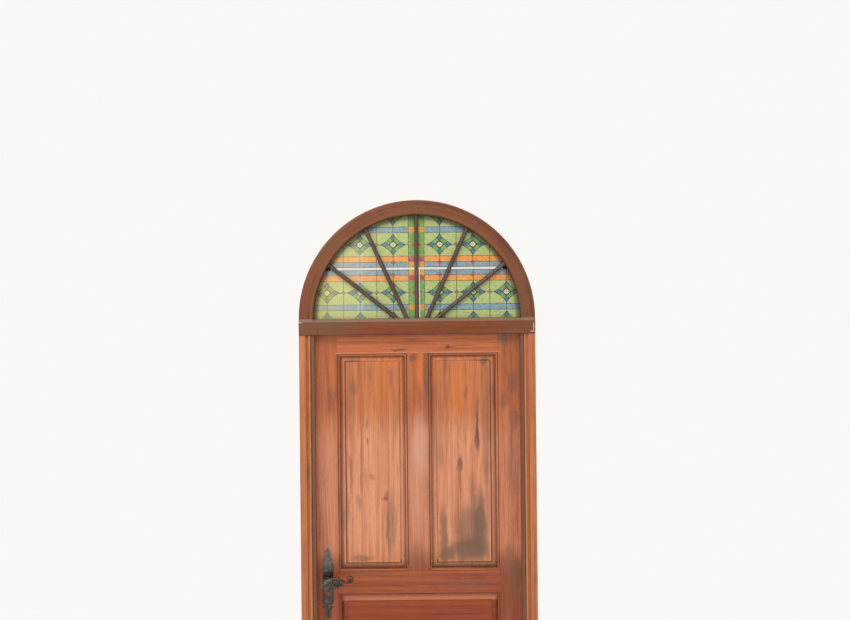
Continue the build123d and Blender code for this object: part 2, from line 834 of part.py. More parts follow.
mullion_tenon_x = (-mullion_tenon_width / 2, mullion_tenon_width / 2)
mullion_mortice_x = (mullion_tenon_x[0] - tenon_fit, mullion_tenon_x[1] + tenon_fit)
mullion_mortice_y = (single_tenon_y[0] - tenon_fit, single_tenon_y[1] + tenon_fit)
mullion_mortice_length = mullion_tenon_length + tenon_fit

with BuildPart() as top_rail:
    block((-stile_in, stile_in), (-leaf_face, leaf_face), (top_rail_low, leaf_top))
    add(upper_left_edges[3])
    add(upper_right_edges[3])
    plough(opening_upper_left, opening_upper_right)
    tenon(-1, single_tenon_y, top_tenon_z)
    tenon(1, single_tenon_y, top_tenon_z)
    mortice_z = (top_rail_low - 1, top_rail_low + mullion_mortice_length)
    block(mullion_mortice_x, mullion_mortice_y, mortice_z, Mode.SUBTRACT)
top_rail.part.label = "top_rail"
export_step(top_rail.part, "parts/top_rail.step")

with BuildPart() as lock_rail:
    block((-stile_in, stile_in), (-leaf_face, leaf_face), (lock_rail_low, lock_rail_top))
    add(upper_left_edges[2])
    add(upper_right_edges[2])
    add(lower_edges[3])
    plough(opening_upper_left, opening_upper_right, opening_lower)
    for tenon_side in twin_tenons_y:
        tenon(-1, tenon_side, lock_tenon_z)
    tenon(1, single_tenon_y, lock_tenon_z)
    mortice_z = (lock_rail_top - mullion_mortice_length, lock_rail_top + 1)
    block(mullion_mortice_x, mullion_mortice_y, mortice_z, Mode.SUBTRACT)
    rod_along_y(spindle_x, spindle_height, bore_radius, (-leaf_face - 1, leaf_face + 1), Mode.SUBTRACT)
lock_rail.part.label = "lock_rail"
export_step(lock_rail.part, "parts/lock_rail.step")

with BuildPart() as bottom_rail:
    block((-stile_in, stile_in), (-leaf_face, leaf_face), (floor_gap, bottom_rail_top))
    add(lower_edges[2])
    plough(opening_lower)
    tenon(-1, single_tenon_y, bottom_tenon_z)
    tenon(1, single_tenon_y, bottom_tenon_z)
bottom_rail.part.label = "bottom_rail"
export_step(bottom_rail.part, "parts/bottom_rail.step")

with BuildPart() as mullion:
    block((-mullion_half, mullion_half), (-leaf_face, leaf_face), (lock_rail_top, top_rail_low))
    add(upper_left_edges[1])
    add(upper_right_edges[0])
    plough(opening_upper_left, opening_upper_right)
    tenon_z = (lock_rail_top - mullion_tenon_length, top_rail_low + mullion_tenon_length)
    block(mullion_tenon_x, single_tenon_y, (tenon_z[0], lock_rail_top + 1))
    block(mullion_tenon_x, single_tenon_y, (top_rail_low - 1, tenon_z[1]))
mullion.part.label = "mullion"
export_step(mullion.part, "parts/mullion.step")

# Raised and fielded panels, alike on both faces
panels = {
    "panel_upper_left": opening_upper_left,
    "panel_upper_right": opening_upper_right,
    "panel_lower": opening_lower,
}
field_face = leaf_face - field_set_back
bevel_high = field_face - field_shoulder

for name, opening in panels.items():
    with BuildPart() as panel:
        with BuildSketch(facing(-tongue_thickness / 2)):
            outline(opening, stick)
        with BuildSketch(facing(-bevel_high)):
            outline(opening, field_margin)
        loft()
        with BuildSketch(facing(-bevel_high)):
            outline(opening, field_margin)
        extrude(amount=field_shoulder)
        mirror(about=Plane.XZ)
        with BuildSketch(facing(tongue_thickness / 2)):
            outline(opening, stick - tongue_reach)
        extrude(amount=tongue_thickness)
    panel.part.label = name
    export_step(panel.part, f"parts/{name}.step")


# Hinges: lift-off butts, each pin riveted into the frame's half
for name, height in zip(hinge_names, hinge_heights):
    split = height + frame_barrel_length
    leaf_barrel_low = split + knuckle_gap
    hinge_top = height + hinge_length
    with BuildPart() as hinge_frame:
        block((rebate_x, rebate_x + hinge_plate), (hinge_plate_front, frame_back), (height, hinge_top))
        block((rebate_x, rebate_x + hinge_plate), (frame_back - 1, hinge_y), (height, split))
        rod_along_z(hinge_x, hinge_y, barrel_radius, (height, split))
        rod_along_z(hinge_x, hinge_y, pin_radius, (height, hinge_top - barrel_cap - pin_top_gap))
    hinge_frame.part.label = f"hinge_frame_{name}"
    export_step(hinge_frame.part, f"parts/hinge_frame_{name}.step")

    with BuildPart() as hinge_leaf:
        block((leaf_half - hinge_plate, leaf_half), (hinge_plate_front, leaf_face), (height, hinge_top))
        block((leaf_half - hinge_plate, leaf_half), (leaf_face - 1, hinge_y), (leaf_barrel_low, hinge_top))
        rod_along_z(hinge_x, hinge_y, barrel_radius, (leaf_barrel_low, hinge_top))
        bore = (leaf_barrel_low - 1, hinge_top - barrel_cap)
        rod_along_z(hinge_x, hinge_y, pin_radius + pin_fit, bore, Mode.SUBTRACT)
    hinge_leaf.part.label = f"hinge_leaf_{name}"
    export_step(hinge_leaf.part, f"parts/hinge_leaf_{name}.step")


# Backplates: one outline for both faces, with spear ends, a collar round the
# spindle and a bare cut-out where a cylinder could go
def backplate_shape():
    """The room side plate, with its collar."""
    quarter = (
        (plate_half_width, 0),
        (plate_half_width, plate_straight),
        plate_shoulder,
        plate_neck,
        plate_barb_foot,
        plate_barb,
        plate_barb_back,
        plate_tip_neck,
        plate_spear,
        (0, plate_half_length),
    )
    with BuildSketch(Plane.XY) as plate_outline:
        for side in (-1, 1):
            for end in (-1, 1):
                p = [(side * x, end * z) for x, z in quarter]
                with BuildLine():
                    Polyline(p[0], p[1], p[2], p[3], p[4], p[5])
                    ThreePointArc(p[5], p[6], p[7])
                    ThreePointArc(p[7], p[8], p[9])
                    Polyline(p[9], (0, 0), p[0])
                make_face()
    with BuildPart() as plate:
        with BuildSketch(facing(-leaf_face)):
            with Locations((spindle_x, plate_height)):
                add(plate_outline.sketch)
        extrude(amount=plate_thickness)
        collar = (plate_front - collar_height, -leaf_face)
        rod_along_y(spindle_x, spindle_height, collar_radius, collar)
        collar_edge = plate.faces().sort_by(Axis.Y)[0].outer_wire().edges()
        chamfer(collar_edge, collar_height / 2)
        with BuildSketch(facing(0)):
            with Locations((spindle_x, plate_height - cut_out_drop)):
                Circle(cut_out_radius)
            with Locations((spindle_x, plate_height - (cut_out_drop + cut_out_leg_drop) / 2)):
                Rectangle(cut_out_leg_width, cut_out_leg_drop - cut_out_drop)
            with Locations((spindle_x, spindle_height)):
                Circle(neck_radius + neck_gap)
        extrude(amount=2 * leaf_thickness, mode=Mode.SUBTRACT)
    return plate.part


plate_shape = backplate_shape()

with BuildPart() as backplate_front:
    add(plate_shape)
backplate_front.part.label = "backplate_front"
export_step(backplate_front.part, "parts/backplate_front.step")

with BuildPart() as backplate_back:
    add(mirror(plate_shape, about=Plane.XZ, mode=Mode.PRIVATE))
backplate_back.part.label = "backplate_back"
export_step(backplate_back.part, "parts/backplate_back.step")


# Cast levers: a neck through the collar, a body with hanging drops and a scroll
# at each end
def lever_shape():
    """The room side lever, one casting."""
    lever_front = lever_back - lever_thickness
    web_front = lever_front + lever_arris
    crest = (lever_root, *lever_crest)
    drops = [point for pair in zip(drop_tips, drop_notches) for point in pair]
    with BuildSketch(Plane.XY) as web_outline:
        with BuildLine():
            for first, middle, last in zip(crest[::2], crest[1::2], crest[2::2]):
                ThreePointArc(first, middle, last)
            Line(crest[-1], lever_under[0])
            ThreePointArc(*lever_under)
            Polyline(lever_under[-1], *drops, lever_root)
        make_face()
    with BuildPart() as lever:
        with BuildSketch(facing(lever_back)):
            with Locations((spindle_x, spindle_height)):
                add(web_outline.sketch)
        extrude(amount=lever_thickness - lever_arris)
        for x, z, radius in ((scroll_x, scroll_z, scroll_radius), (volute_x, volute_z, volute_radius)):
            rod_along_y(spindle_x + x, spindle_height + z, radius, (lever_back, lever_front))
        dish = (lever_front, lever_front + scroll_dish_depth)
        rod_along_y(spindle_x + scroll_x, spindle_height + scroll_z, scroll_dish, dish, Mode.SUBTRACT)
        neck = (lever_back - lever_root_reach, -(leaf_face + lever_root_reach))
        rod_along_y(spindle_x, spindle_height, neck_radius, neck)
        socket_half = spindle_side / 2 + spindle_fit
        socket_y = (-spindle_end, -leaf_face)
        socket_x = (spindle_x - socket_half, spindle_x + socket_half)
        socket_z = (spindle_height - socket_half, spindle_height + socket_half)
        block(socket_x, socket_y, socket_z, Mode.SUBTRACT)
    return lever.part


lever = lever_shape()

with BuildPart() as lever_front_piece:
    add(lever)
lever_front_piece.part.label = "lever_front"
export_step(lever_front_piece.part, "parts/lever_front.step")

with BuildPart() as lever_back_piece:
    add(mirror(lever, about=Plane.XZ, mode=Mode.PRIVATE))
lever_back_piece.part.label = "lever_back"
export_step(lever_back_piece.part, "parts/lever_back.step")

with BuildPart() as spindle:
    half = spindle_side / 2
    square_x = (spindle_x - half, spindle_x + half)
    block(square_x, (-spindle_end, spindle_end), (spindle_height - half, spindle_height + half))
spindle.part.label = "spindle"
export_step(spindle.part, "parts/spindle.step")

# Follower: turns in the latch case, and its cam draws the bolt
hub_half = case_thickness / 2 - hub_end_gap
with BuildPart() as follower:
    rod_along_y(spindle_x, spindle_height, hub_radius, (-hub_half, hub_half))
    with BuildSketch(facing(cam_thickness / 2)):
        with Locations((spindle_x, spindle_height + cam_radius)):
            Circle(cam_nose)
        with Locations((spindle_x, spindle_height + cam_radius / 2)):
            Rectangle(2 * cam_nose, cam_radius)
    extrude(amount=cam_thickness)
    half = spindle_side / 2 + spindle_fit
    square_x = (spindle_x - half, spindle_x + half)
    square_z = (spindle_height - half, spindle_height + half)
    block(square_x, (-case_thickness, case_thickness), square_z, Mode.SUBTRACT)
follower.part.label = "follower"
export_step(follower.part, "parts/follower.step")

# Latch bolt: a bevelled head, and a tail whose lug the cam pushes
bolt_tip = -leaf_half - bolt_throw
head_back = bolt_tip + bolt_head_length
lug_front = spindle_x + cam_nose + lug_gap

with BuildPart() as latch_bolt:
    bolt_z = (spindle_height - bolt_half_height, spindle_height + bolt_half_height)
    tail_z = (spindle_height + tail_rise, spindle_height + tail_rise + tail_height)
    tail_y = (-tail_thickness / 2, tail_thickness / 2)
    block((bolt_tip, head_back), (-bolt_half_thickness, bolt_half_thickness), bolt_z)
    with BuildSketch(Plane.XY.offset(spindle_height - bolt_height)):
        Polygon(
            (bolt_tip - 1, -bolt_half_thickness - 1),
            (bolt_tip + bolt_throw - 1, -bolt_half_thickness - 1),
            (bolt_tip + bolt_throw - 1, -bolt_half_thickness),
            (bolt_tip, bolt_half_thickness - bolt_nose),
            (bolt_tip - 1, bolt_half_thickness - bolt_nose),
        )
    extrude(amount=2 * bolt_height, mode=Mode.SUBTRACT)
    block((head_back - 1, head_back + tail_web), tail_y, (bolt_z[0], tail_z[1]))
    block((head_back, lug_front + lug_length), tail_y, tail_z)
    block((lug_front, lug_front + lug_length), tail_y, (spindle_height + lug_low, tail_z[1]))
latch_bolt.part.label = "latch_bolt"
export_step(latch_bolt.part, "parts/latch_bolt.step")

bolt_way_y = (-bolt_half_thickness - bolt_gap, bolt_half_thickness + bolt_gap)
bolt_way_z = (bolt_z[0] - bolt_gap, bolt_z[1] + bolt_gap)
cover_inside = case_thickness / 2 - case_wall

with BuildPart() as latch_case:
    block(case_x, (-case_thickness / 2, cover_inside), case_z)
    hollow_x = (case_x[0] + case_wall, case_x[1] - case_wall)
    hollow_z = (case_z[0] + case_wall, case_z[1] - case_wall)
    block(hollow_x, (-cover_inside, cover_inside + 1), hollow_z, Mode.SUBTRACT)
    block((case_x[0] - 1, case_x[0] + case_wall + 1), bolt_way_y, bolt_way_z, Mode.SUBTRACT)
    hub_way = (-case_thickness, case_thickness)
    rod_along_y(spindle_x, spindle_height, hub_radius + hub_fit, hub_way, Mode.SUBTRACT)
latch_case.part.label = "latch_case"
export_step(latch_case.part, "parts/latch_case.step")

with BuildPart() as latch_cover:
    block(case_x, (cover_inside, case_thickness / 2), case_z)
    rod_along_y(spindle_x, spindle_height, hub_radius + hub_fit, (0, case_thickness), Mode.SUBTRACT)
latch_cover.part.label = "latch_cover"
export_step(latch_cover.part, "parts/latch_cover.step")

with BuildPart() as forend:
    block((-leaf_half, -leaf_half + forend_thickness), (-forend_width / 2, forend_width / 2), forend_z)
    block((-leaf_half - 1, 0), bolt_way_y, bolt_way_z, Mode.SUBTRACT)
forend.part.label = "forend"
export_step(forend.part, "parts/forend.step")

with BuildPart() as strike_plate:
    block((-rebate_x - strike_thickness, -rebate_x), (strike_front, frame_back), strike_z)
    mouth_window = (spindle_height - mouth_z, spindle_height + mouth_z)
    block((-frame_half, 0), (-mouth_y, mouth_y), mouth_window, Mode.SUBTRACT)
strike_plate.part.label = "strike_plate"
export_step(strike_plate.part, "parts/strike_plate.step")
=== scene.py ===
from math import atan2, cos, hypot, pi, radians, sin, sqrt

import bmesh
import bpy
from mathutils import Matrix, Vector


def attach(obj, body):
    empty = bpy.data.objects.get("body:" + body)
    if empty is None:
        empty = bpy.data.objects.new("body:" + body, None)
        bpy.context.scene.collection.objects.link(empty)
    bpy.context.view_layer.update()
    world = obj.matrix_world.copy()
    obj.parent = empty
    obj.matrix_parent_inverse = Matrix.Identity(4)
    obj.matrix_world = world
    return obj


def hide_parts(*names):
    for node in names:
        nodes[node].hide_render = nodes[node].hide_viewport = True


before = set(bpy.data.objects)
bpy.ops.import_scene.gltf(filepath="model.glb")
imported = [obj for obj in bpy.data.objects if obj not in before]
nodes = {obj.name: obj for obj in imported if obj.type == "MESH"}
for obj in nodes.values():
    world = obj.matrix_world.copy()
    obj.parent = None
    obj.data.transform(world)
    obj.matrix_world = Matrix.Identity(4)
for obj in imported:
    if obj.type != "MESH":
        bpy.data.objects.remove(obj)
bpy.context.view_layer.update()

# -----
# Jambs: two moulded pine sticks, stained orange-brown and varnished on site.
# The grain runs up the stick, the quirk is painted darker, the flat strip
# beside the leaf is rubbed grey, and painted shade lies along the stop's edge
# by the leaf. They stand on the floor and carry the transom.
jamb_light = (0.56, 0.185, 0.055)
jamb_middle = (0.44, 0.125, 0.038)
jamb_dark = (0.26, 0.072, 0.026)
weathered_brown = (0.165, 0.082, 0.048)
rubbed_grey = (0.085, 0.042, 0.026)
# Dark brown for painted shade round the leaf's fields, by the stop and under the transom, for quirks painted darker
# and for the rail's joint line.
dirt_and_shade_dark = (0.055, 0.020, 0.012)
jamb_strip = (0.400, 0.4140)
jamb_quirk = (0.4150, 0.4175)
jamb_stop = (0.4010, 0.4038)
pane_foot = 2.088


def new_material(name):
    """An empty node material and its Principled shader."""
    material = bpy.data.materials.new(name)
    material.use_nodes = True
    shader = material.node_tree.nodes["Principled BSDF"]
    return material, material.node_tree, shader


def link(tree, source, target):
    tree.links.new(source, target)


def math_node(tree, operation, first, second=None, third=None, clamp=False):
    """One arithmetic step on numbers or sockets."""
    node = tree.nodes.new("ShaderNodeMath")
    node.operation = operation
    node.use_clamp = clamp
    for socket, value in zip(node.inputs, (first, second, third)):
        if value is None:
            continue
        if isinstance(value, (int, float)):
            socket.default_value = value
        else:
            link(tree, value, socket)
    return node.outputs[0]


def times(tree, *factors):
    """The product of several sockets or numbers."""
    product = factors[0]
    for factor in factors[1:]:
        product = math_node(tree, "MULTIPLY", product, factor)
    return product


def distance(tree, across, along):
    """How far a place is from the zero of two coordinates."""
    return math_node(
        tree, "SQRT", math_node(tree, "ADD", times(tree, across, across), times(tree, along, along))
    )


def bumped(tree, shader, height, strength, depth):
    """Fine relief on a surface: its height, how strongly it shows and its depth in metres."""
    bump = tree.nodes.new("ShaderNodeBump")
    bump.inputs["Strength"].default_value = strength
    bump.inputs["Distance"].default_value = depth
    link(tree, height, bump.inputs["Height"])
    link(tree, bump.outputs[0], shader.inputs["Normal"])


def blend_colour(tree, factor, first, second, mode="MIX"):
    """One colour laid over another by a factor; colours or sockets."""
    node = tree.nodes.new("ShaderNodeMix")
    node.data_type = "RGBA"
    node.blend_type = mode
    for socket, value in ((node.inputs[0], factor), (node.inputs[6], first), (node.inputs[7], second)):
        if isinstance(value, (int, float)):
            socket.default_value = value
        elif isinstance(value, tuple):
            socket.default_value = (*value, 1)
        else:
            link(tree, value, socket)
    return node.outputs[2]


def ramp(tree, factor, *stops):
    """A colour ramp through (position, colour) stops."""
    node = tree.nodes.new("ShaderNodeValToRGB")
    elements = node.color_ramp.elements
    while len(elements) < len(stops):
        elements.new(1)
    for element, (position, colour) in zip(elements, stops):
        element.position = position
        element.color = (*colour, 1)
    link(tree, factor, node.inputs[0])
    return node.outputs[0]


def span(tree, value, low, high, to_low=0.0, to_high=1.0):
    """A value taken smoothly from one range to another."""
    node = tree.nodes.new("ShaderNodeMapRange")
    node.interpolation_type = "SMOOTHSTEP"
    link(tree, value, node.inputs[0])
    for socket, number in zip(node.inputs[1:5], (low, high, to_low, to_high)):
        socket.default_value = number
    return node.outputs[0]


def stretched_noise(tree, place, scale, detail=4, roughness=0.55, shift=(0, 0, 0)):
    """Noise with its own scale along each axis, in cells per metre."""
    mapping = tree.nodes.new("ShaderNodeMapping")
    mapping.inputs["Scale"].default_value = scale
    mapping.inputs["Location"].default_value = shift
    link(tree, place, mapping.inputs["Vector"])
    noise = tree.nodes.new("ShaderNodeTexNoise")
    noise.inputs["Scale"].default_value = 1
    noise.inputs["Detail"].default_value = detail
    noise.inputs["Roughness"].default_value = roughness
    link(tree, mapping.outputs[0], noise.inputs["Vector"])
    return noise.outputs["Fac"]


def object_place(tree):
    return tree.nodes.new("ShaderNodeTexCoord").outputs["Object"]


def grain_place(tree, direction):
    """Coordinates whose Z runs with the grain: up, across the door or round the arch."""
    place = object_place(tree)
    if direction == "up":
        return place
    split = tree.nodes.new("ShaderNodeSeparateXYZ")
    link(tree, place, split.inputs[0])
    x, y, z = split.outputs
    joined = tree.nodes.new("ShaderNodeCombineXYZ")
    if direction == "across":
        sources = (z, y, x)
    else:
        rise = math_node(tree, "SUBTRACT", z, pane_foot)
        radius = distance(tree, x, rise)
        turn = times(tree, math_node(tree, "ARCTAN2", rise, x), 0.43)
        sources = (radius, y, turn)
    for source, socket in zip(sources, joined.inputs):
        link(tree, source, socket)
    return joined.outputs[0]


def patch(tree, place, x, z, half_width, half_height, softness=0.5, ragged=0.02):
    """1 inside a ragged oval on the door's face, falling to 0 outside it; metres."""
    split = tree.nodes.new("ShaderNodeSeparateXYZ")
    link(tree, place, split.inputs[0])
    wander = stretched_noise(tree, place, (24, 24, 9), 3, 0.6, (x * 7, 0, z * 3))
    wander = times(tree, math_node(tree, "SUBTRACT", wander, 0.5), ragged * 2)
    across = math_node(
        tree,
        "DIVIDE",
        math_node(tree, "ADD", math_node(tree, "SUBTRACT", split.outputs[0], x), wander),
        half_width,
    )
    along = math_node(
        tree,
        "DIVIDE",
        math_node(tree, "ADD", math_node(tree, "SUBTRACT", split.outputs[2], z), wander),
        half_height,
    )
    return span(tree, distance(tree, across, along), 1 - softness, 1 + softness, 1, 0)


def varnished_wood(name, direction, light, middle, dark, worn, worn_from=0.52, shift=(0, 0, 0), gloss=0.33):
    """Stained and varnished pine: fibres, streaks, pores and worn patches, and the tree to add to."""
    material, tree, shader = new_material(name)
    place = grain_place(tree, direction)
    fibre = stretched_noise(tree, place, (330, 330, 7), 6, 0.7, shift)
    streak = stretched_noise(tree, place, (62, 62, 1.3), 5, 0.62, shift)
    figure = stretched_noise(tree, place, (11, 11, 0.8), 2, 0.5, shift)
    lines = math_node(tree, "SINE", times(tree, figure, 120))
    tone = math_node(tree, "MULTIPLY_ADD", streak, 0.40, times(tree, fibre, 0.42))
    tone = math_node(tree, "MULTIPLY_ADD", lines, 0.012, math_node(tree, "ADD", tone, 0.09))
    bright = tuple(min(1, c * 1.2) for c in light)
    colour = ramp(tree, tone, (0.375, dark), (0.462, middle), (0.552, light), (0.67, bright))
    pores = stretched_noise(tree, place, (520, 520, 34), 3, 0.5, tuple(s + 5.3 for s in shift))
    colour = blend_colour(tree, span(tree, pores, 0.60, 0.70, 0, 0.42), colour, dark)
    wear = stretched_noise(tree, place, (17, 17, 3.2), 6, 0.7, tuple(s + 3.7 for s in shift))
    worn_share = times(tree, span(tree, wear, worn_from, worn_from + 0.14), 0.5)
    colour = blend_colour(tree, worn_share, colour, worn)
    dull = stretched_noise(tree, place, (18, 18, 7), 4, 0.6, tuple(s + 8.1 for s in shift))
    link(tree, span(tree, dull, 0.3, 0.75, gloss - 0.07, gloss + 0.16), shader.inputs["Roughness"])
    shader.inputs["Coat Weight"].default_value = 0.12
    shader.inputs["Coat Roughness"].default_value = 0.22
    bumped(tree, shader, math_node(tree, "MULTIPLY_ADD", fibre, 0.7, times(tree, dull, 0.8)), 0.35, 0.0006)
    link(tree, colour, shader.inputs["Base Color"])
    return material, tree, shader, colour


def stained(tree, shader, colour, share, tint, mode="MIX"):
    """The wood's colour with one more stain over it, by a share of 0 to 1."""
    colour = blend_colour(tree, share, colour, tint, mode)
    link(tree, colour, shader.inputs["Base Color"])
    return colour


def axis_of(tree, axis):
    """One of the object's own coordinates, X, Y or Z."""
    split = tree.nodes.new("ShaderNodeSeparateXYZ")
    link(tree, object_place(tree), split.inputs[0])
    return split.outputs["XYZ".index(axis)]


def within(tree, value, low, high, soft):
    """1 between two values, falling softly to 0 outside them."""
    rise = span(tree, value, low - soft, low, 0, 1)
    fall = span(tree, value, high, high + soft, 1, 0)
    return times(tree, rise, fall)


def dress(node, material):
    """Give a CAD node its finish."""
    slots = nodes[node].data.materials
    slots.clear()
    slots.append(material)


def ease_arrises(node, width):
    """Take the sharp arrises off a wooden node, as sandpaper does."""
    weld = nodes[node].modifiers.new("weld", "WELD")
    weld.merge_threshold = 0.00001
    bevel = nodes[node].modifiers.new("eased_arrises", "BEVEL")
    bevel.width = width
    bevel.segments = 2
    bevel.limit_method = "ANGLE"
    bevel.angle_limit = radians(38)
    bevel.use_clamp_overlap = True


jamb_wood, tree, shader, colour = varnished_wood(
    "jamb_wood", "up", jamb_light, jamb_middle, jamb_dark, weathered_brown, 0.56, (0.4, 0, 0.2)
)
across = math_node(tree, "ABSOLUTE", axis_of(tree, "X"))
depth = axis_of(tree, "Y")
front = span(tree, depth, -0.043, -0.030, 1, 0)
for band, softness, strength, tint in (
    (jamb_strip, 0.0008, 0.78, rubbed_grey),
    # The quirk painted darker.
    (jamb_quirk, 0.0006, 0.85, dirt_and_shade_dark),
    # Painted shade on the stop's edge beside the leaf.
    (jamb_stop, 0.0008, 0.85, dirt_and_shade_dark),
):
    share = times(tree, within(tree, across, *band, softness), front, strength)
    colour = stained(tree, shader, colour, share, tint)
for node in ("jamb_left", "jamb_right"):
    dress(node, jamb_wood)
    ease_arrises(node, 0.0006)

# -----
# Transom rail: a heavier stick across both jambs, sloped above to shed water.
# It is redder in the middle and grey-brown at its left end. The top of its
# slope is painted paler, painted shade lies along its underside, and three
# flecks of plaster stick to its ends.
transom_light = (0.230, 0.056, 0.013)
transom_middle = (0.170, 0.039, 0.010)
transom_dark = (0.070, 0.018, 0.007)
frame_grey_brown = (0.165, 0.078, 0.034)
slope_pale = (0.30, 0.215, 0.165)
plaster_white = (0.80, 0.78, 0.74)
joint_line = (-0.3888, -0.3874)
plaster_flecks = (
    (-0.457, 2.074, 0.007, 0.0012),
    (0.4555, 2.054, 0.0013, 0.015),
    (0.452, 2.034, 0.009, 0.0013),
)

transom_wood, tree, shader, colour = varnished_wood(
    "transom_wood", "across", transom_light, transom_middle, transom_dark, frame_grey_brown, 0.55, (0.1, 0, 0.6), 0.40
)
shader.inputs["Specular IOR Level"].default_value = 0.25
left_end = span(tree, axis_of(tree, "X"), -0.34, -0.16, 0.75, 0)
right_end = span(tree, axis_of(tree, "X"), 0.22, 0.44, 0, 0.40)
colour = stained(tree, shader, colour, math_node(tree, "ADD", left_end, right_end), frame_grey_brown)
# The top of the slope is painted paler.
slope = times(
    tree,
    span(tree, axis_of(tree, "Z"), 2.0755, 2.0775, 0, 1),
    span(tree, axis_of(tree, "Y"), -0.042, -0.036, 0.6, 0),
)
colour = stained(tree, shader, colour, slope, slope_pale)
# Painted shade along the rail's underside, where it overhangs the leaf.
painted_shade_under = span(tree, axis_of(tree, "Z"), 2.0255, 2.0285, 0.75, 0)
colour = stained(tree, shader, colour, painted_shade_under, dirt_and_shade_dark)
joint = times(
    tree,
    within(tree, axis_of(tree, "X"), *joint_line, 0.0012),
    span(tree, axis_of(tree, "Z"), 2.060, 2.070, 0.6, 0),
)
colour = stained(tree, shader, colour, joint, dirt_and_shade_dark)
for x, z, half_width, half_height in plaster_flecks:
    share = patch(tree, object_place(tree), x, z, half_width, half_height, 0.5, 0.006)
    colour = stained(tree, shader, colour, times(tree, share, 0.75), plaster_white)
for node in ("transom_rail", "arch_tenons"):
    dress(node, transom_wood)
ease_arrises("transom_rail", 0.0008)

# -----
# Arch head: a half ring, turned to shape with softened edges. Its grain
# follows the arc, and its stain is duller than the jambs'.
arch_light = (0.225, 0.072, 0.024)
arch_middle = (0.168, 0.050, 0.017)
arch_dark = (0.078, 0.024, 0.010)

arch_wood, _, shader, _ = varnished_wood(
    "arch_wood", "round", arch_light, arch_middle, arch_dark, frame_grey_brown, 0.50, (0.7, 0, 0.3), 0.40
)
shader.inputs["Specular IOR Level"].default_value = 0.25
dress("arch_head", arch_wood)
ease_arrises("arch_head", 0.0006)

# -----
# Glazing beads: an arched and a straight bead behind the pane, pinned into the
# rebate. They are not seen in the photograph and are finished like the frame.
dress("glazing_bead_arch", arch_wood)
dress("glazing_bead_sill", transom_wood)
for node in ("glazing_bead_arch", "glazing_bead_sill"):
    ease_arrises(node, 0.0004)

# -----
# Glazing bars: five round-nosed sticks that fan out from the transom rail,
# stained nearly black, with the stain rubbed paler in patches.
bar_light = (0.095, 0.052, 0.036)
bar_middle = (0.058, 0.032, 0.023)
bar_dark = (0.028, 0.016, 0.012)
bar_rubbed = (0.112, 0.078, 0.060)

bar_wood, *_ = varnished_wood(
    "bar_wood", "up", bar_light, bar_middle, bar_dark, bar_rubbed, 0.52, (0.2, 0, 0.5), 0.36
)
for node in ("bar_left_low", "bar_left_steep", "bar_centre", "bar_right_steep", "bar_right_low"):
    dress(node, bar_wood)

# -----
# Pane: one half round of clear glass, held from behind by the two beads. It
# is a little dusty, most of all along the sill.
glass, tree, shader = new_material("clear_glass")
pane_dust = stretched_noise(tree, object_place(tree), (14, 14, 14), 5, 0.65)
link(
    tree,
    ramp(tree, pane_dust, (0.35, (0.92, 0.82, 0.76)), (0.75, (0.84, 0.74, 0.67))),
    shader.inputs["Base Color"],
)
sill_dust = span(tree, axis_of(tree, "Z"), pane_foot, 2.125, 0.16, 0)
link(
    tree,
    math_node(tree, "ADD", sill_dust, span(tree, pane_dust, 0.4, 0.8, 0.01, 0.09)),
    shader.inputs["Roughness"],
)
shader.inputs["Transmission Weight"].default_value = 1
shader.inputs["IOR"].default_value = 1.1
bumped(tree, shader, pane_dust, 0.08, 0.0005)
dress("fanlight_glass", glass)

# -----
# Printed film: translucent sheets stuck to the room side of the pane and
# printed like a leaded window. Each colour is a thin field that goes right
# through the sheet, so that it shows from both sides.
print_depths = {
    "film_sheets": ((0.400, 0.475, 0.150), 0.30),
    "film_lines": ((0.020, 0.032, 0.014), 0.36),
    "film_stars": ((0.016, 0.026, 0.016), 0.36),
    "film_light_blue": ((0.190, 0.310, 0.385), 0.40),
    "film_green": ((0.150, 0.350, 0.045), 0.40),
    "film_orange": ((0.78, 0.285, 0.032), 0.42),
    "film_blue": ((0.050, 0.150, 0.265), 0.44),
    "film_crimson": ((0.480, 0.062, 0.065), 0.46),
    "film_cream": ((0.78, 0.69, 0.52), 0.44),
}
film_middle = -0.02235
seam_height = 2.2845


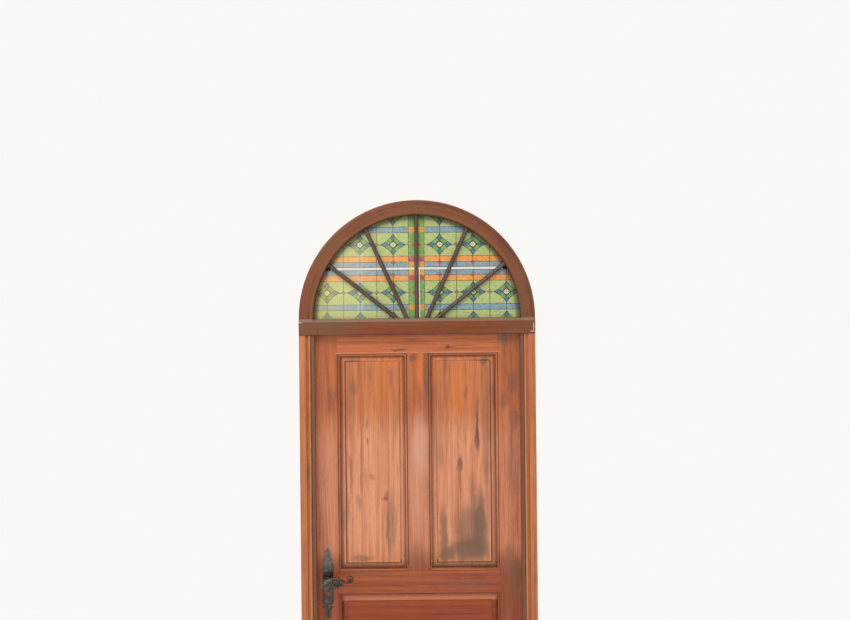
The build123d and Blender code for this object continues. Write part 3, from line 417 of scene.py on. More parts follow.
def printed_colour(name, colour):
    """A print colour: mottled like cathedral glass, with painted backlight that pales and yellows it to the left, a
    painted reflection streak, and the bead's painted shadow round its rim.
    """
    material, tree, shader = new_material(name)
    place = object_place(tree)
    x, z = axis_of(tree, "X"), axis_of(tree, "Z")
    mottle = stretched_noise(tree, place, (150, 60, 150), 5, 0.7)
    pale = tuple(min(1, c * 0.8 + 0.17) for c in colour)
    deep = tuple(c * 0.70 for c in colour)
    printed = ramp(tree, mottle, (0.3, deep), (0.5, colour), (0.74, pale))
    # Painted backlight: the print is paler to the left, where light comes through from behind.
    wash = stretched_noise(tree, place, (5, 1, 4), 3, 0.5, (1.3, 0, 0))
    left = span(tree, math_node(tree, "MULTIPLY_ADD", wash, 0.3, x), -0.30, 0.18, 0.60, 0)
    printed = blend_colour(
        tree, left, printed, tuple(min(1, c * 0.6 + t) for c, t in zip(colour, (0.44, 0.37, 0.20)))
    )
    # A painted reflection: a faint pale upright streak on the left half.
    streak = times(tree, within(tree, x, -0.229, -0.219, 0.012), within(tree, z, 2.12, 2.34, 0.06))
    printed = blend_colour(tree, times(tree, streak, 0.13), printed, (0.82, 0.84, 0.82))
    # Painted backlight also yellows the print's lower left corner.
    corner = times(tree, span(tree, x, -0.37, -0.28, 0.34, 0), span(tree, z, 2.20, 2.30, 1, 0))
    printed = blend_colour(tree, corner, printed, (0.95, 0.80, 0.30), "MULTIPLY")
    # Painted shadow of the glazing bead behind, darkening the print round its rim.
    rise = math_node(tree, "SUBTRACT", z, pane_foot)
    rim = span(tree, distance(tree, x, rise), 0.385, 0.399, 0, 0.78)
    printed = blend_colour(tree, rim, printed, tuple(c * 0.22 for c in colour))
    link(tree, printed, shader.inputs["Base Color"])
    link(tree, span(tree, mottle, 0.3, 0.7, 0.30, 0.48), shader.inputs["Roughness"])
    bumped(tree, shader, mottle, 0.25, 0.0004)
    return material


def alone(piece):
    """Make one object the active and only selected one."""
    bpy.ops.object.select_all(action="DESELECT")
    bpy.context.view_layer.objects.active = piece
    piece.select_set(True)


def new_piece(name, shape):
    """A new object with this mesh or curve, put in the scene and selected alone."""
    piece = bpy.data.objects.new(name, shape)
    bpy.context.scene.collection.objects.link(piece)
    alone(piece)
    return piece


def edit_all():
    """Edit mode, with all of the active mesh selected."""
    bpy.ops.object.mode_set(mode="EDIT")
    bpy.ops.mesh.select_all(action="SELECT")


def piece_from_node(node, name):
    """A new piece with a CAD node's shape, its loose triangles merged."""
    piece = new_piece(name, nodes[node].data.copy())
    edit_all()
    bpy.ops.mesh.remove_doubles(threshold=1e-6)
    bpy.ops.object.mode_set(mode="OBJECT")
    piece.data.materials.clear()
    return piece


def print_through(piece, thickness):
    """Each separate field of the print is given the same depth about the middle of the film."""
    mesh = bmesh.new()
    mesh.from_mesh(piece.data)
    left = set(mesh.verts)
    while left:
        field, edge = set(), {left.pop()}
        while edge:
            field |= edge
            edge = {e.other_vert(v) for v in edge for e in v.link_edges} - field
        left -= field
        middle = sum(v.co.y for v in field) / len(field)
        for v in field:
            v.co.y = film_middle + (thickness if v.co.y > middle else -thickness) / 2000
    mesh.to_mesh(piece.data)
    mesh.free()


# The stars' dark ground spreads a little, and the blue and cream drawn on it
# shrink, so that their outlines print bolder.
outline_growth = {"film_stars": 0.0018, "film_blue": -0.0014, "film_cream": -0.0010}
print_colours = {}
for node, (colour, thickness) in print_depths.items():
    field = piece_from_node(node, node.replace("film_", "print_"))
    if node in outline_growth:
        edit_all()
        bpy.ops.transform.shrink_fatten(value=outline_growth[node])
        bpy.ops.object.mode_set(mode="OBJECT")
    print_through(field, thickness)
    print_colours[node] = printed_colour(field.name, colour)
    field.data.materials.append(print_colours[node])
    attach(field, "frame")
    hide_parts(node)

# -----
# Fine lines of the print: 2.4 mm upright and level lines that tie the stars to
# the bands and to each other, printed dark green over the colours.
star_columns = (0.092, 0.2234, 0.3548)
plain_columns = (0.1577, 0.2891)
star_rows = (0.102, 0.291)
star_half_width = 0.0525
film_reach = 0.4062
fine_line = 0.0024


def printed_strip(low, high, thickness):
    """One printed strip between two corners (x, z), as deep as its print."""
    bpy.ops.mesh.primitive_cube_add(
        size=1,
        location=((low[0] + high[0]) / 2, film_middle, (low[1] + high[1]) / 2),
        scale=(high[0] - low[0], thickness / 1000, high[1] - low[1]),
    )
    bpy.ops.object.transform_apply()
    return bpy.context.object


def join_pieces(parts, name):
    """Several meshes made into one piece."""
    alone(parts[0])
    for part in parts:
        part.select_set(True)
    bpy.ops.object.join()
    piece = bpy.context.object
    piece.name = piece.data.name = name
    bpy.ops.object.transform_apply()
    return piece


def rim_height(x):
    """Height of the film's edge above the pane's foot at x."""
    return sqrt(max(0, film_reach ** 2 - (abs(x) + fine_line / 2) ** 2))


seam = seam_height - pane_foot
upright_runs = [
    (x, low, high) for x in plain_columns for low, high in ((0.0006, seam - 0.004), (seam + 0.004, 1))
]
for x in star_columns:
    upright_runs += [
        (x, 0.0275, 0.0595), (x, 0.1445, seam - 0.004), (x, seam + 0.004, 0.2485), (x, 0.3335, 0.3655)
    ]
strips = []
for side in (-1, 1):
    for x, low, high in upright_runs:
        high = min(high, rim_height(x))
        if high > low:
            strips.append(
                printed_strip(
                    (side * x - fine_line / 2, pane_foot + low),
                    (side * x + fine_line / 2, pane_foot + high),
                    0.43,
                )
            )
    for row in star_rows:
        ends = (0.030, *(x + way * star_half_width for x in star_columns for way in (-1, 1)))
        for low, high in zip(ends[::2], ends[1::2]):
            high = min(high, sqrt(film_reach ** 2 - (row + fine_line) ** 2))
            if high > low:
                x_low, x_high = sorted((side * low, side * high))
                strips.append(
                    printed_strip(
                        (x_low, pane_foot + row - fine_line / 2),
                        (x_high, pane_foot + row + fine_line / 2),
                        0.43,
                    )
                )
fine_lines = join_pieces(strips, "print_fine_lines")
fine_lines.data.materials.append(print_colours["film_lines"])
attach(fine_lines, "frame")

# -----
# Crosses in the star cores: a fine pinkish-brown cross printed on each cream
# diamond.
strips = []
for side in (-1, 1):
    for x in star_columns:
        for row in star_rows:
            if hypot(x + 0.013, row + 0.004) < film_reach:
                z = pane_foot + row
                strips.append(
                    printed_strip((side * x - 0.0125, z - 0.0009), (side * x + 0.0125, z + 0.0009), 0.46)
                )
                strips.append(
                    printed_strip((side * x - 0.0009, z - 0.011), (side * x + 0.0009, z + 0.011), 0.47)
                )
crosses = join_pieces(strips, "print_core_crosses")
crosses.data.materials.append(printed_colour("print_cross", (0.24, 0.10, 0.09)))
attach(crosses, "frame")

# -----
# Small diamonds of the print, each with a dark outline: orange-brown ones where
# the star tips point at each other, and crimson ones where the star columns
# cross the edge between the orange and the light blue bands.
def printed_diamond(x, z, half_width, half_height, thickness):
    """One printed diamond about (x, z), as deep as its print."""
    bpy.ops.mesh.primitive_cylinder_add(
        vertices=4, radius=1, depth=thickness / 1000, location=(x, film_middle, z), rotation=(pi / 2, 0, 0)
    )
    bpy.ops.object.transform_apply(location=False, rotation=True, scale=False)
    bpy.context.object.scale = (half_width, 1, half_height)
    bpy.ops.object.transform_apply()
    return bpy.context.object


tip_spots = [(side * x, row) for side in (-1, 1) for x in plain_columns for row in star_rows]
band_edges = (seam - 0.0246, seam + 0.0246)
band_spots = [(side * x, row) for side in (-1, 1) for x in star_columns for row in band_edges]
for name, places, size, thickness, finish, slot in (
    ("print_diamond_outlines", tip_spots, 0.0088, 0.46, print_colours["film_lines"], "film_line"),
    (
        "print_diamonds",
        tip_spots,
        0.0062,
        0.48,
        printed_colour("print_brown", (0.40, 0.125, 0.022)),
        "film_orange",
    ),
    ("print_band_outlines", band_spots, 0.0096, 0.52, print_colours["film_lines"], "film_line"),
    (
        "print_band_diamonds",
        band_spots,
        0.0072,
        0.54,
        printed_colour("print_red", (0.50, 0.055, 0.050)),
        "film_crimson",
    ),
):
    spots = []
    for x, row in places:
        if hypot(x, row) < film_reach - 0.012:
            spots.append(printed_diamond(x, pane_foot + row, size, size, thickness))
    diamonds = join_pieces(spots, name)
    diamonds.data.materials.append(finish)
    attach(diamonds, "frame")

# -----
# Leaf: stiles, rails and mullion framed round three raised panels. Same pine
# and varnish as the jambs. The middle is paler, partly bleached and partly a
# painted sheen of the varnish; the part below the lock rail is redder and
# darker, with water stains and knots where the photograph shows them, and
# patches of painted glare on the mullion and lock stile. The quirks are
# painted darker, painted shade lies round the raised fields and on the upper
# panels' bottom bevels, and painted highlights lie on the lower panel's top
# bevel and along the top rail's arris.
leaf_light = (0.60, 0.210, 0.070)
leaf_middle = (0.48, 0.145, 0.045)
leaf_dark = (0.29, 0.080, 0.027)
knot_brown = (0.105, 0.036, 0.020)
# A grey-brown for stains, and for painted shade on the upper panels' bottom bevels.
stain_and_shade_grey = (0.160, 0.088, 0.052)
fresh_orange = (0.66, 0.170, 0.028)
leaf_glow = (0.62, 0.230, 0.110)
varnish_glare = (0.70, 0.385, 0.260)
sun_bleached = (0.68, 0.310, 0.190)
# Painted sheen of the varnish and bleaching: the middle heights are made paler.
sheen_and_bleach = (1.24, 1.58, 2.45)
sheen_and_bleach_heights = (1.22, 1.58)
below_lock_rail = (0.66, 0.52, 0.44)
over_lower_panel = (0.969, 0.990)
under_upper_panels = (1.090, 1.117)
panel_bevel = (0.0040, 0.0088)

panel_stains = (
    (0.165, 1.800, 0.040, 0.110, 0.38, fresh_orange),
    (-0.140, 1.800, 0.030, 0.110, 0.32, fresh_orange),
    (0.272, 1.640, 0.014, 0.280, 0.45, stain_and_shade_grey),
    (-0.262, 1.720, 0.014, 0.200, 0.32, stain_and_shade_grey),
    (0.086, 1.700, 0.012, 0.160, 0.28, stain_and_shade_grey),
    (0.215, 1.380, 0.012, 0.100, 0.35, stain_and_shade_grey),
    (0.236, 1.653, 0.008, 0.098, 0.85, stain_and_shade_grey),
    (0.241, 1.630, 0.005, 0.055, 0.60, knot_brown),
    (0.262, 1.914, 0.013, 0.013, 0.70, stain_and_shade_grey),
    (0.190, 1.785, 0.005, 0.034, 0.55, stain_and_shade_grey),
    (0.163, 1.515, 0.006, 0.016, 0.60, knot_brown),
    (0.174, 1.503, 0.004, 0.020, 0.60, knot_brown),
    (0.166, 1.509, 0.014, 0.028, 0.45, stain_and_shade_grey),
    (0.243, 1.270, 0.026, 0.130, 0.84, stain_and_shade_grey),
    (0.096, 1.235, 0.015, 0.110, 0.68, stain_and_shade_grey),
    (0.200, 1.170, 0.075, 0.045, 0.84, stain_and_shade_grey),
    (0.110, 1.150, 0.030, 0.026, 0.72, stain_and_shade_grey),
    (0.200, 1.260, 0.050, 0.080, 0.60, stain_and_shade_grey),
    (0.090, 1.540, 0.012, 0.050, 0.30, stain_and_shade_grey),
    (0.064, 1.882, 0.012, 0.060, 0.50, fresh_orange),
    (-0.108, 1.265, 0.018, 0.115, 0.42, stain_and_shade_grey),
    (-0.121, 1.250, 0.005, 0.120, 0.45, stain_and_shade_grey),
    (-0.240, 1.360, 0.012, 0.030, 0.38, stain_and_shade_grey),
    (-0.137, 1.368, 0.010, 0.007, 0.70, knot_brown),
    (-0.132, 1.385, 0.004, 0.012, 0.55, knot_brown),
    (-0.250, 1.815, 0.016, 0.028, 0.45, stain_and_shade_grey),
    (-0.113, 1.850, 0.008, 0.045, 0.42, stain_and_shade_grey),
    (-0.090, 1.700, 0.008, 0.120, 0.30, stain_and_shade_grey),
    (-0.199, 1.603, 0.005, 0.014, 0.65, knot_brown),
    (-0.184, 1.460, 0.014, 0.012, 0.45, stain_and_shade_grey),
    (-0.204, 1.668, 0.006, 0.020, 0.45, stain_and_shade_grey),
    (-0.268, 1.480, 0.007, 0.070, 0.50, stain_and_shade_grey),
    (-0.120, 1.905, 0.050, 0.020, 0.35, fresh_orange),
    (-0.230, 1.135, 0.040, 0.012, 0.50, stain_and_shade_grey),
)
framing_stains_and_glare = (
    (0.376, 1.831, 0.018, 0.040, 0.65, stain_and_shade_grey),
    (0.341, 2.002, 0.018, 0.036, 0.72, stain_and_shade_grey),
    (0.342, 1.760, 0.016, 0.034, 0.40, stain_and_shade_grey),
    (0.350, 1.700, 0.014, 0.036, 0.30, leaf_glow),
    (0.386, 1.690, 0.012, 0.050, 0.55, stain_and_shade_grey),
    (0.372, 1.500, 0.020, 0.120, 0.36, stain_and_shade_grey),
    (0.352, 1.140, 0.022, 0.055, 0.45, stain_and_shade_grey),
    (0.380, 1.060, 0.018, 0.070, 0.50, stain_and_shade_grey),
    (0.009, 1.885, 0.013, 0.070, 0.75, fresh_orange),
    (-0.018, 1.935, 0.014, 0.014, 0.50, knot_brown),
    (0.032, 1.860, 0.007, 0.110, 0.70, stain_and_shade_grey),
    (0.000, 1.460, 0.044, 0.230, 0.45, sun_bleached),
    # Patches of painted glare on the varnish of the mullion and lock stile.
    (0.008, 1.590, 0.030, 0.110, 0.36, varnish_glare),
    (-0.355, 1.420, 0.024, 0.220, 0.14, varnish_glare),
    (-0.010, 1.150, 0.036, 0.050, 0.40, stain_and_shade_grey),
    (-0.313, 1.120, 0.008, 0.040, 0.60, stain_and_shade_grey),
    (-0.318, 1.440, 0.006, 0.200, 0.30, stain_and_shade_grey),
)
rail_stains = (
    (0.122, 1.977, 0.007, 0.008, 0.75, knot_brown),
    (0.128, 1.974, 0.020, 0.004, 0.55, knot_brown),
    (-0.074, 1.964, 0.030, 0.006, 0.60, knot_brown),
    (0.341, 2.002, 0.018, 0.036, 0.72, stain_and_shade_grey),
    (-0.230, 1.078, 0.080, 0.006, 0.35, stain_and_shade_grey),
    (0.180, 1.030, 0.100, 0.012, 0.30, stain_and_shade_grey),
)


def leaf_wood(name, direction, marks, shift, tone, dark_from):
    """The leaf's varnished pine: its middle paler by bleaching and painted sheen, its marks and painted glare, its
    quirks painted darker, and painted shade and highlights round its panels.
    """
    material, tree, shader, colour = varnished_wood(
        name, direction, leaf_light, leaf_middle, leaf_dark, weathered_brown, 0.555, shift
    )
    shader.inputs["Specular IOR Level"].default_value = 0.35
    height = axis_of(tree, "Z")
    depth = math_node(tree, "ABSOLUTE", axis_of(tree, "Y"))
    colour = stained(tree, shader, colour, 1, tone, "MULTIPLY")
    # The middle heights are paler, partly bleached and partly a painted sheen.
    colour = stained(tree, shader, colour, within(tree, height, *sheen_and_bleach_heights, 0.18), sheen_and_bleach, "MULTIPLY")
    low_share = span(tree, height, dark_from - 0.10, dark_from, 1, 0)
    colour = stained(tree, shader, colour, low_share, below_lock_rail, "MULTIPLY")
    room_side = span(tree, axis_of(tree, "Y"), -0.001, 0.001, 1, 0)
    # Stains and knots, and on the framing, patches of painted glare.
    for x, z, half_width, half_height, strength, tint in marks:
        share = times(tree, patch(tree, object_place(tree), x, z, half_width, half_height), room_side)
        colour = stained(tree, shader, colour, times(tree, share, strength), tint)
    across = math_node(tree, "ABSOLUTE", axis_of(tree, "X"))
    # Painted shade round the raised fields: strongest on the sides away from the mullion and along the upper panels'
    # bottom edge, weaker over the lower panel and at the top.
    far_side_shade = span(tree, across, 0.20, 0.26, 0.22, 0.95)
    shoulder_shade = times(
        tree,
        math_node(tree, "MAXIMUM", far_side_shade, within(tree, height, 1.10, 1.127, 0.006)),
        span(tree, height, 0.97, 1.02, 0.35, 1),
    )
    shoulder_shade = times(tree, shoulder_shade, span(tree, height, 1.915, 1.93, 1, 0.4))
    # The quirks are painted darker, less so along the lock rail's top.
    quirk = math_node(
        tree, "SUBTRACT", span(tree, across, 0.05, 0.07, 1, 0.75), within(tree, height, 1.05, 1.105, 0.006)
    )
    # Painted shade round the fields, the quirks painted darker, and the panels' bevels painted darker beside the
    # moulding.
    for low, high, soft, strength in (
        (0.0086, 0.0113, 0.0004, shoulder_shade), (0.01835, 0.0196, 0.0002, quirk), (0.0030, 0.0052, 0.0022, 0.4)
    ):
        dark_band = times(tree, within(tree, depth, low, high, soft), strength)
        colour = stained(tree, shader, colour, dark_band, dirt_and_shade_dark)
    # A painted highlight along the top rail's lower arris, over the upper panels.
    lit = times(tree, within(tree, height, 1.9505, 1.9530, 0.0006), within(tree, across, 0.045, 0.325, 0.002))
    lit = times(tree, lit, span(tree, depth, 0.0194, 0.0198, 0, 1), 0.45)
    colour = stained(tree, shader, colour, lit, varnish_glare)
    bevel = within(tree, depth, *panel_bevel, 0.0006)
    # A painted highlight on the lower panel's top bevel, which faces up.
    above = times(tree, within(tree, height, *over_lower_panel, 0.004), bevel, 0.65)
    colour = stained(tree, shader, colour, above, leaf_glow)
    # Painted shade on the upper panels' bottom bevels, which face down.
    below = times(tree, within(tree, height, *under_upper_panels, 0.003), bevel, 0.45)
    colour = stained(tree, shader, colour, below, stain_and_shade_grey)
    return material


framing_wood = leaf_wood("leaf_wood_framing", "up", framing_stains_and_glare, (0, 0, 0), (0.80, 0.66, 0.62), 1.19)
rail_wood = leaf_wood("leaf_wood_rails", "across", rail_stains, (0.3, 0, 0.9), (0.95, 0.78, 0.72), 1.19)
upper_panel_wood = leaf_wood(
    "leaf_wood_upper_panels", "up", panel_stains, (0.8, 0, 0.4), (0.95, 0.90, 0.88), 1.10
)
lower_panel_wood = leaf_wood("leaf_wood_lower_panel", "across", (), (0.5, 0, 0.1), (0.84, 0.52, 0.26), 1.19)
for wood, wooden_parts in (
    (framing_wood, ("stile_lock", "stile_hinge", "mullion")),
    (rail_wood, ("top_rail", "lock_rail", "bottom_rail")),
    (upper_panel_wood, ("panel_upper_left", "panel_upper_right")),
    (lower_panel_wood, ("panel_lower",)),
):
    for node in wooden_parts:
        dress(node, wood)
        ease_arrises(node, 0.00035)

# -----
# Hinges, latch, forend, strike plate and spindle: rolled steel, gone dull and
# a little brown, with fine scratches.
steel, tree, shader = new_material("dull_steel")
steel_cloud = stretched_noise(tree, object_place(tree), (90, 90, 40), 5, 0.6)
scratches = stretched_noise(tree, object_place(tree), (900, 900, 60), 3, 0.6, (2.1, 0, 0))
colour = ramp(tree, steel_cloud, (0.3, (0.25, 0.235, 0.21)), (0.7, (0.50, 0.485, 0.46)))
rust = stretched_noise(tree, object_place(tree), (160, 160, 160), 4, 0.7, (4.7, 0, 0))
link(
    tree,
    blend_colour(tree, span(tree, rust, 0.6, 0.75, 0, 0.5), colour, (0.14, 0.075, 0.04)),
    shader.inputs["Base Color"],
)
link(tree, span(tree, steel_cloud, 0.3, 0.7, 0.30, 0.5), shader.inputs["Roughness"])
shader.inputs["Metallic"].default_value = 0.9
bumped(tree, shader, scratches, 0.15, 0.0002)
for node in ("strike_plate", "forend", "latch_case", "latch_cover", "latch_bolt", "spindle", "follower"):
    dress(node, steel)
    ease_arrises(node, 0.0003)
hinge_ends = ("bottom", "middle", "top")
for end in hinge_ends:
    for half in ("frame", "leaf"):
        dress(f"hinge_{half}_{end}", steel)
        ease_arrises(f"hinge_{half}_{end}", 0.0004)


# -----
# Screws of the hinges, forend and strike: small slotted countersunk steel
# screws, three in each half of a hinge and two in the others, set flush.
def slotted_head(name, radius, height, dome):
    """A screw head about the origin with its face up +Z: a disc, its rim rounded, its slot sunk."""
    bpy.ops.object.select_all(action="DESELECT")
    bpy.ops.mesh.primitive_cylinder_add(vertices=24, radius=radius, depth=height, location=(0, 0, 0))
    head = bpy.context.object
    head.name = head.data.name = name
    bpy.ops.object.mode_set(mode="EDIT")
    bpy.ops.mesh.select_mode(type="EDGE")
    shape = bmesh.from_edit_mesh(head.data)
    for edge in shape.edges:
        edge.select = all(v.co.z > 0 for v in edge.verts)
    bmesh.update_edit_mesh(head.data)
    bpy.ops.mesh.bevel(offset=dome, segments=3, affect="EDGES")
    slot = radius * 0.14
    for side in (-1, 1):
        bpy.ops.mesh.select_all(action="SELECT")
        bpy.ops.mesh.bisect(plane_co=(0, side * slot, 0), plane_no=(0, 1, 0))
    bpy.ops.mesh.select_mode(type="FACE")
    bpy.ops.mesh.select_all(action="DESELECT")
    shape = bmesh.from_edit_mesh(head.data)
    for face in shape.faces:
        centre = face.calc_center_median()
        face.select = face.normal.z > 0.9 and abs(centre.y) < slot
    bmesh.update_edit_mesh(head.data)
    bpy.ops.mesh.extrude_region_move(TRANSFORM_OT_translate={"value": (0, 0, -height * 0.5)})
    bpy.ops.object.mode_set(mode="OBJECT")
    bpy.ops.object.shade_smooth_by_angle(angle=radians(40))
    return head


def set_copy(model, name, place, turn, body, finish):
    """A copy of a modelled fastener with its own mesh, turned and set at its place."""
    copy = new_piece(name, model.data.copy())
    copy.rotation_euler = turn
    copy.location = place
    bpy.ops.object.transform_apply()
    copy.data.materials.clear()
    copy.data.materials.append(finish)
    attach(copy, body)


flush_head = slotted_head("flush_head", 0.0034, 0.0011, 0.0003)
hinge_feet = (0.180, 0.965, 1.750)
hinge_screws = ((0.016, 0.002), (0.055, 0.012), (0.094, 0.002))
for end, foot in zip(hinge_ends, hinge_feet):
    for k, (rise, y) in enumerate(hinge_screws):
        slant = radians(25 + 47 * k)
        set_copy(
            flush_head,
            f"screw_hinge_frame_{end}_{k + 1}",
            (0.41565, y, foot + rise),
            (slant, -pi / 2, 0),
            "frame",
            steel,
        )
        set_copy(
            flush_head,
            f"screw_hinge_leaf_{end}_{k + 1}",
            (0.41235, y, foot + rise),
            (slant, pi / 2, 0),
            "leaf",
            steel,
        )
for k, z in enumerate((1.006, 1.130)):
    set_copy(
        flush_head,
        f"screw_forend_{k + 1}",
        (-0.41235, 0, z),
        (radians(30 + 50 * k), -pi / 2, 0),
        "leaf",
        steel,
    )
for k, z in enumerate((1.023, 1.113)):
    set_copy(
        flush_head,
        f"screw_strike_{k + 1}",
        (-0.41565, 0, z),
        (radians(70 - 40 * k), pi / 2, 0),
        "frame",
        steel,
    )
bpy.data.objects.remove(flush_head)

# -----
# Backplates: black iron plates with spear ends, cut from sheet, hammered over
# and wiped to a grey-green sheen. One on each face of the lock stile, each
# with a turned rose round the spindle and a round cut-out below it.
spindle = (-0.3625, 1.068)
plate_centre = (-0.3625, 1.042)

iron, tree, shader = new_material("aged_iron")
place = object_place(tree)
cloud = stretched_noise(tree, place, (85, 85, 60), 5, 0.62)
colour = ramp(
    tree,
    cloud,
    (0.30, (0.030, 0.023, 0.018)),
    (0.47, (0.075, 0.064, 0.052)),
    (0.60, (0.155, 0.150, 0.130)),
    (0.76, (0.26, 0.27, 0.27)),
)
rubbed = stretched_noise(tree, place, (260, 260, 260), 4, 0.7, (1.9, 0, 0))
colour = blend_colour(tree, span(tree, rubbed, 0.56, 0.72, 0, 0.55), colour, (0.15, 0.165, 0.125))
off_x = math_node(tree, "SUBTRACT", axis_of(tree, "X"), spindle[0])
off_z = math_node(tree, "SUBTRACT", axis_of(tree, "Z"), spindle[1])
away = distance(tree, off_x, off_z)
near_rose = times(
    tree,
    span(tree, away, 0.016, 0.030, 0.80, 0),
    span(tree, math_node(tree, "ABSOLUTE", axis_of(tree, "Y")), 0.030, 0.045, 1, 0),
)
colour = blend_colour(tree, near_rose, colour, (0.012, 0.013, 0.012))
colour = blend_colour(tree, span(tree, off_z, -0.060, -0.018, 0.45, 0), colour, (0.040, 0.024, 0.016))
# A painted highlight: the plate's upper spear is lighter grey.
colour = blend_colour(tree, span(tree, off_z, 0.030, 0.055, 0, 0.3), colour, (0.24, 0.24, 0.24))
# Painted shade towards the plate's sides, leaving a lighter line down its middle; it darkens the lever beyond them
# too.
plate_edge = math_node(tree, "ABSOLUTE", off_x)
colour = blend_colour(tree, span(tree, plate_edge, 0.012, 0.021, 0, 0.45), colour, (0.022, 0.018, 0.015))
link(tree, colour, shader.inputs["Base Color"])
link(tree, span(tree, cloud, 0.3, 0.7, 0.30, 0.55), shader.inputs["Roughness"])
shader.inputs["Metallic"].default_value = 0.55
hammered = tree.nodes.new("ShaderNodeTexVoronoi")
hammered.feature = "SMOOTH_F1"
hammered.inputs["Scale"].default_value = 130
link(tree, place, hammered.inputs["Vector"])
bumped(tree, shader, math_node(tree, "MULTIPLY_ADD", rubbed, 0.35, hammered.outputs["Distance"]), 0.5, 0.0008)


def bowed(first, middle, last, steps=7):
    """Points along the arc through three points, without its first."""
    (ax, az), (bx, bz), (cx, cz) = first, middle, last
    d = 2 * (ax * (bz - cz) + bx * (cz - az) + cx * (az - bz))
    a, b, c = ax * ax + az * az, bx * bx + bz * bz, cx * cx + cz * cz
    ox = (a * (bz - cz) + b * (cz - az) + c * (az - bz)) / d
    oz = (a * (cx - bx) + b * (ax - cx) + c * (bx - ax)) / d
    radius = hypot(ax - ox, az - oz)
    start, through, stop = (atan2(z - oz, x - ox) for x, z in (first, middle, last))
    sweep = (stop - start) % (2 * pi)
    if (through - start) % (2 * pi) > sweep:
        sweep -= 2 * pi
    return [
        (
            ox + radius * cos(start + sweep * k / steps), oz + radius * sin(start + sweep * k / steps)
        ) for k in range(1, steps + 1)
    ]


quarter = [(21, 79)]
quarter += bowed((21, 79), (14, 81.5), (11.5, 87))
quarter += [(11, 90.5), (14.5, 91), (22.4, 91.2)]
quarter += bowed((22.4, 91.2), (16, 98.5), (9.6, 107.5))
quarter += bowed((9.6, 107.5), (11.9, 117), (0, 138.4), 10)
upper = quarter + [(-x, z) for x, z in quarter[-2::-1]]
plate_rim = upper + [(x, -z) for x, z in upper[::-1]]
cut_out = bowed((0, -52.2), (10.2, -42), (0, -31.8), 14) + bowed((0, -31.8), (-10.2, -42), (0, -52.2), 14)


def cut_from_sheet(name, outlines, centre, thickness, rim):
    """A plate cut to its outlines (millimetres about its centre), standing upright, its rims rounded."""
    curve = bpy.data.curves.new(name, "CURVE")
    curve.dimensions = "2D"
    curve.fill_mode = "BOTH"
    curve.extrude = thickness / 2 - rim
    curve.bevel_depth = rim
    curve.bevel_resolution = 1
    curve.offset = -rim
    for outline in outlines:
        line = curve.splines.new("POLY")
        line.points.add(len(outline) - 1)
        for point, (x, z) in zip(line.points, outline):
            point.co = (x / 1000, z / 1000, 0, 1)
        line.use_cyclic_u = True
    new_piece(name, curve)
    bpy.ops.object.convert(target="MESH")
    plate = bpy.context.object
    plate.rotation_euler = (pi / 2, 0, 0)
    plate.location = centre
    bpy.ops.object.transform_apply()
    edit_all()
    bpy.ops.mesh.remove_doubles(threshold=1e-6)
    bpy.ops.mesh.normals_make_consistent()
    bpy.ops.object.mode_set(mode="OBJECT")
    return plate


def turned(name, profile, x, z, steps=36):
    """A piece turned on the lathe: its profile, (radius, y) in millimetres, spun about an axis along Y."""
    bpy.ops.object.select_all(action="DESELECT")
    bpy.ops.mesh.primitive_plane_add(size=0.001, location=(0, 0, 0))
    piece = bpy.context.object
    piece.name = piece.data.name = name
    bpy.ops.object.mode_set(mode="EDIT")
    bpy.ops.mesh.select_mode(type="VERT")
    bpy.ops.mesh.select_all(action="SELECT")
    bpy.ops.mesh.merge(type="CENTER")
    radius, y = profile[0]
    bpy.ops.transform.translate(value=(x + radius / 1000, y / 1000, z))
    for (r0, y0), (r1, y1) in zip(profile, profile[1:]):
        bpy.ops.mesh.extrude_region_move(
            TRANSFORM_OT_translate={"value": ((r1 - r0) / 1000, (y1 - y0) / 1000, 0)}
        )
    bpy.ops.mesh.select_all(action="SELECT")
    bpy.ops.mesh.spin(steps=steps, angle=2 * pi, center=(x, 0, z), axis=(0, 1, 0))
    bpy.ops.mesh.select_all(action="SELECT")
    bpy.ops.mesh.remove_doubles(threshold=1e-6)
    bpy.ops.mesh.normals_make_consistent()
    bpy.ops.object.mode_set(mode="OBJECT")
    return piece


def for_the_far_side(piece, name):
    """The same piece, mirrored to the far side of the leaf, with its own mesh."""
    copy = new_piece(name, piece.data.copy())
    copy.scale = (1, -1, 1)
    bpy.ops.object.transform_apply()
    edit_all()
    bpy.ops.mesh.normals_make_consistent()
    bpy.ops.object.mode_set(mode="OBJECT")
    return copy


rose_profile = (
    (0, -20.5), (17, -20.5), (17, -23.8), (16.6, -25.2), (15.4, -26.6), (13.6, -27.3), (12.4, -27.1),
    (11.8, -26.2),
    (11.2, -25.6), (10.4, -26.0), (9.8, -26.6), (9.0, -26.6), (0, -26.2),
)
plate = cut_from_sheet(
    "plate_room_side", (plate_rim, cut_out), (plate_centre[0], -0.02125, plate_centre[1]), 0.0025, 0.0008
)
rose = turned("rose", rose_profile, *spindle)
room_plate = join_pieces([plate, rose], "plate_room_side")
bpy.ops.object.shade_smooth_by_angle(angle=radians(35))
far_plate = for_the_far_side(room_plate, "plate_far_side")
for piece, node in ((room_plate, "backplate_front"), (far_plate, "backplate_back")):
    piece.data.materials.clear()
    piece.data.materials.append(iron)
    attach(piece, "leaf")
    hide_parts(node)

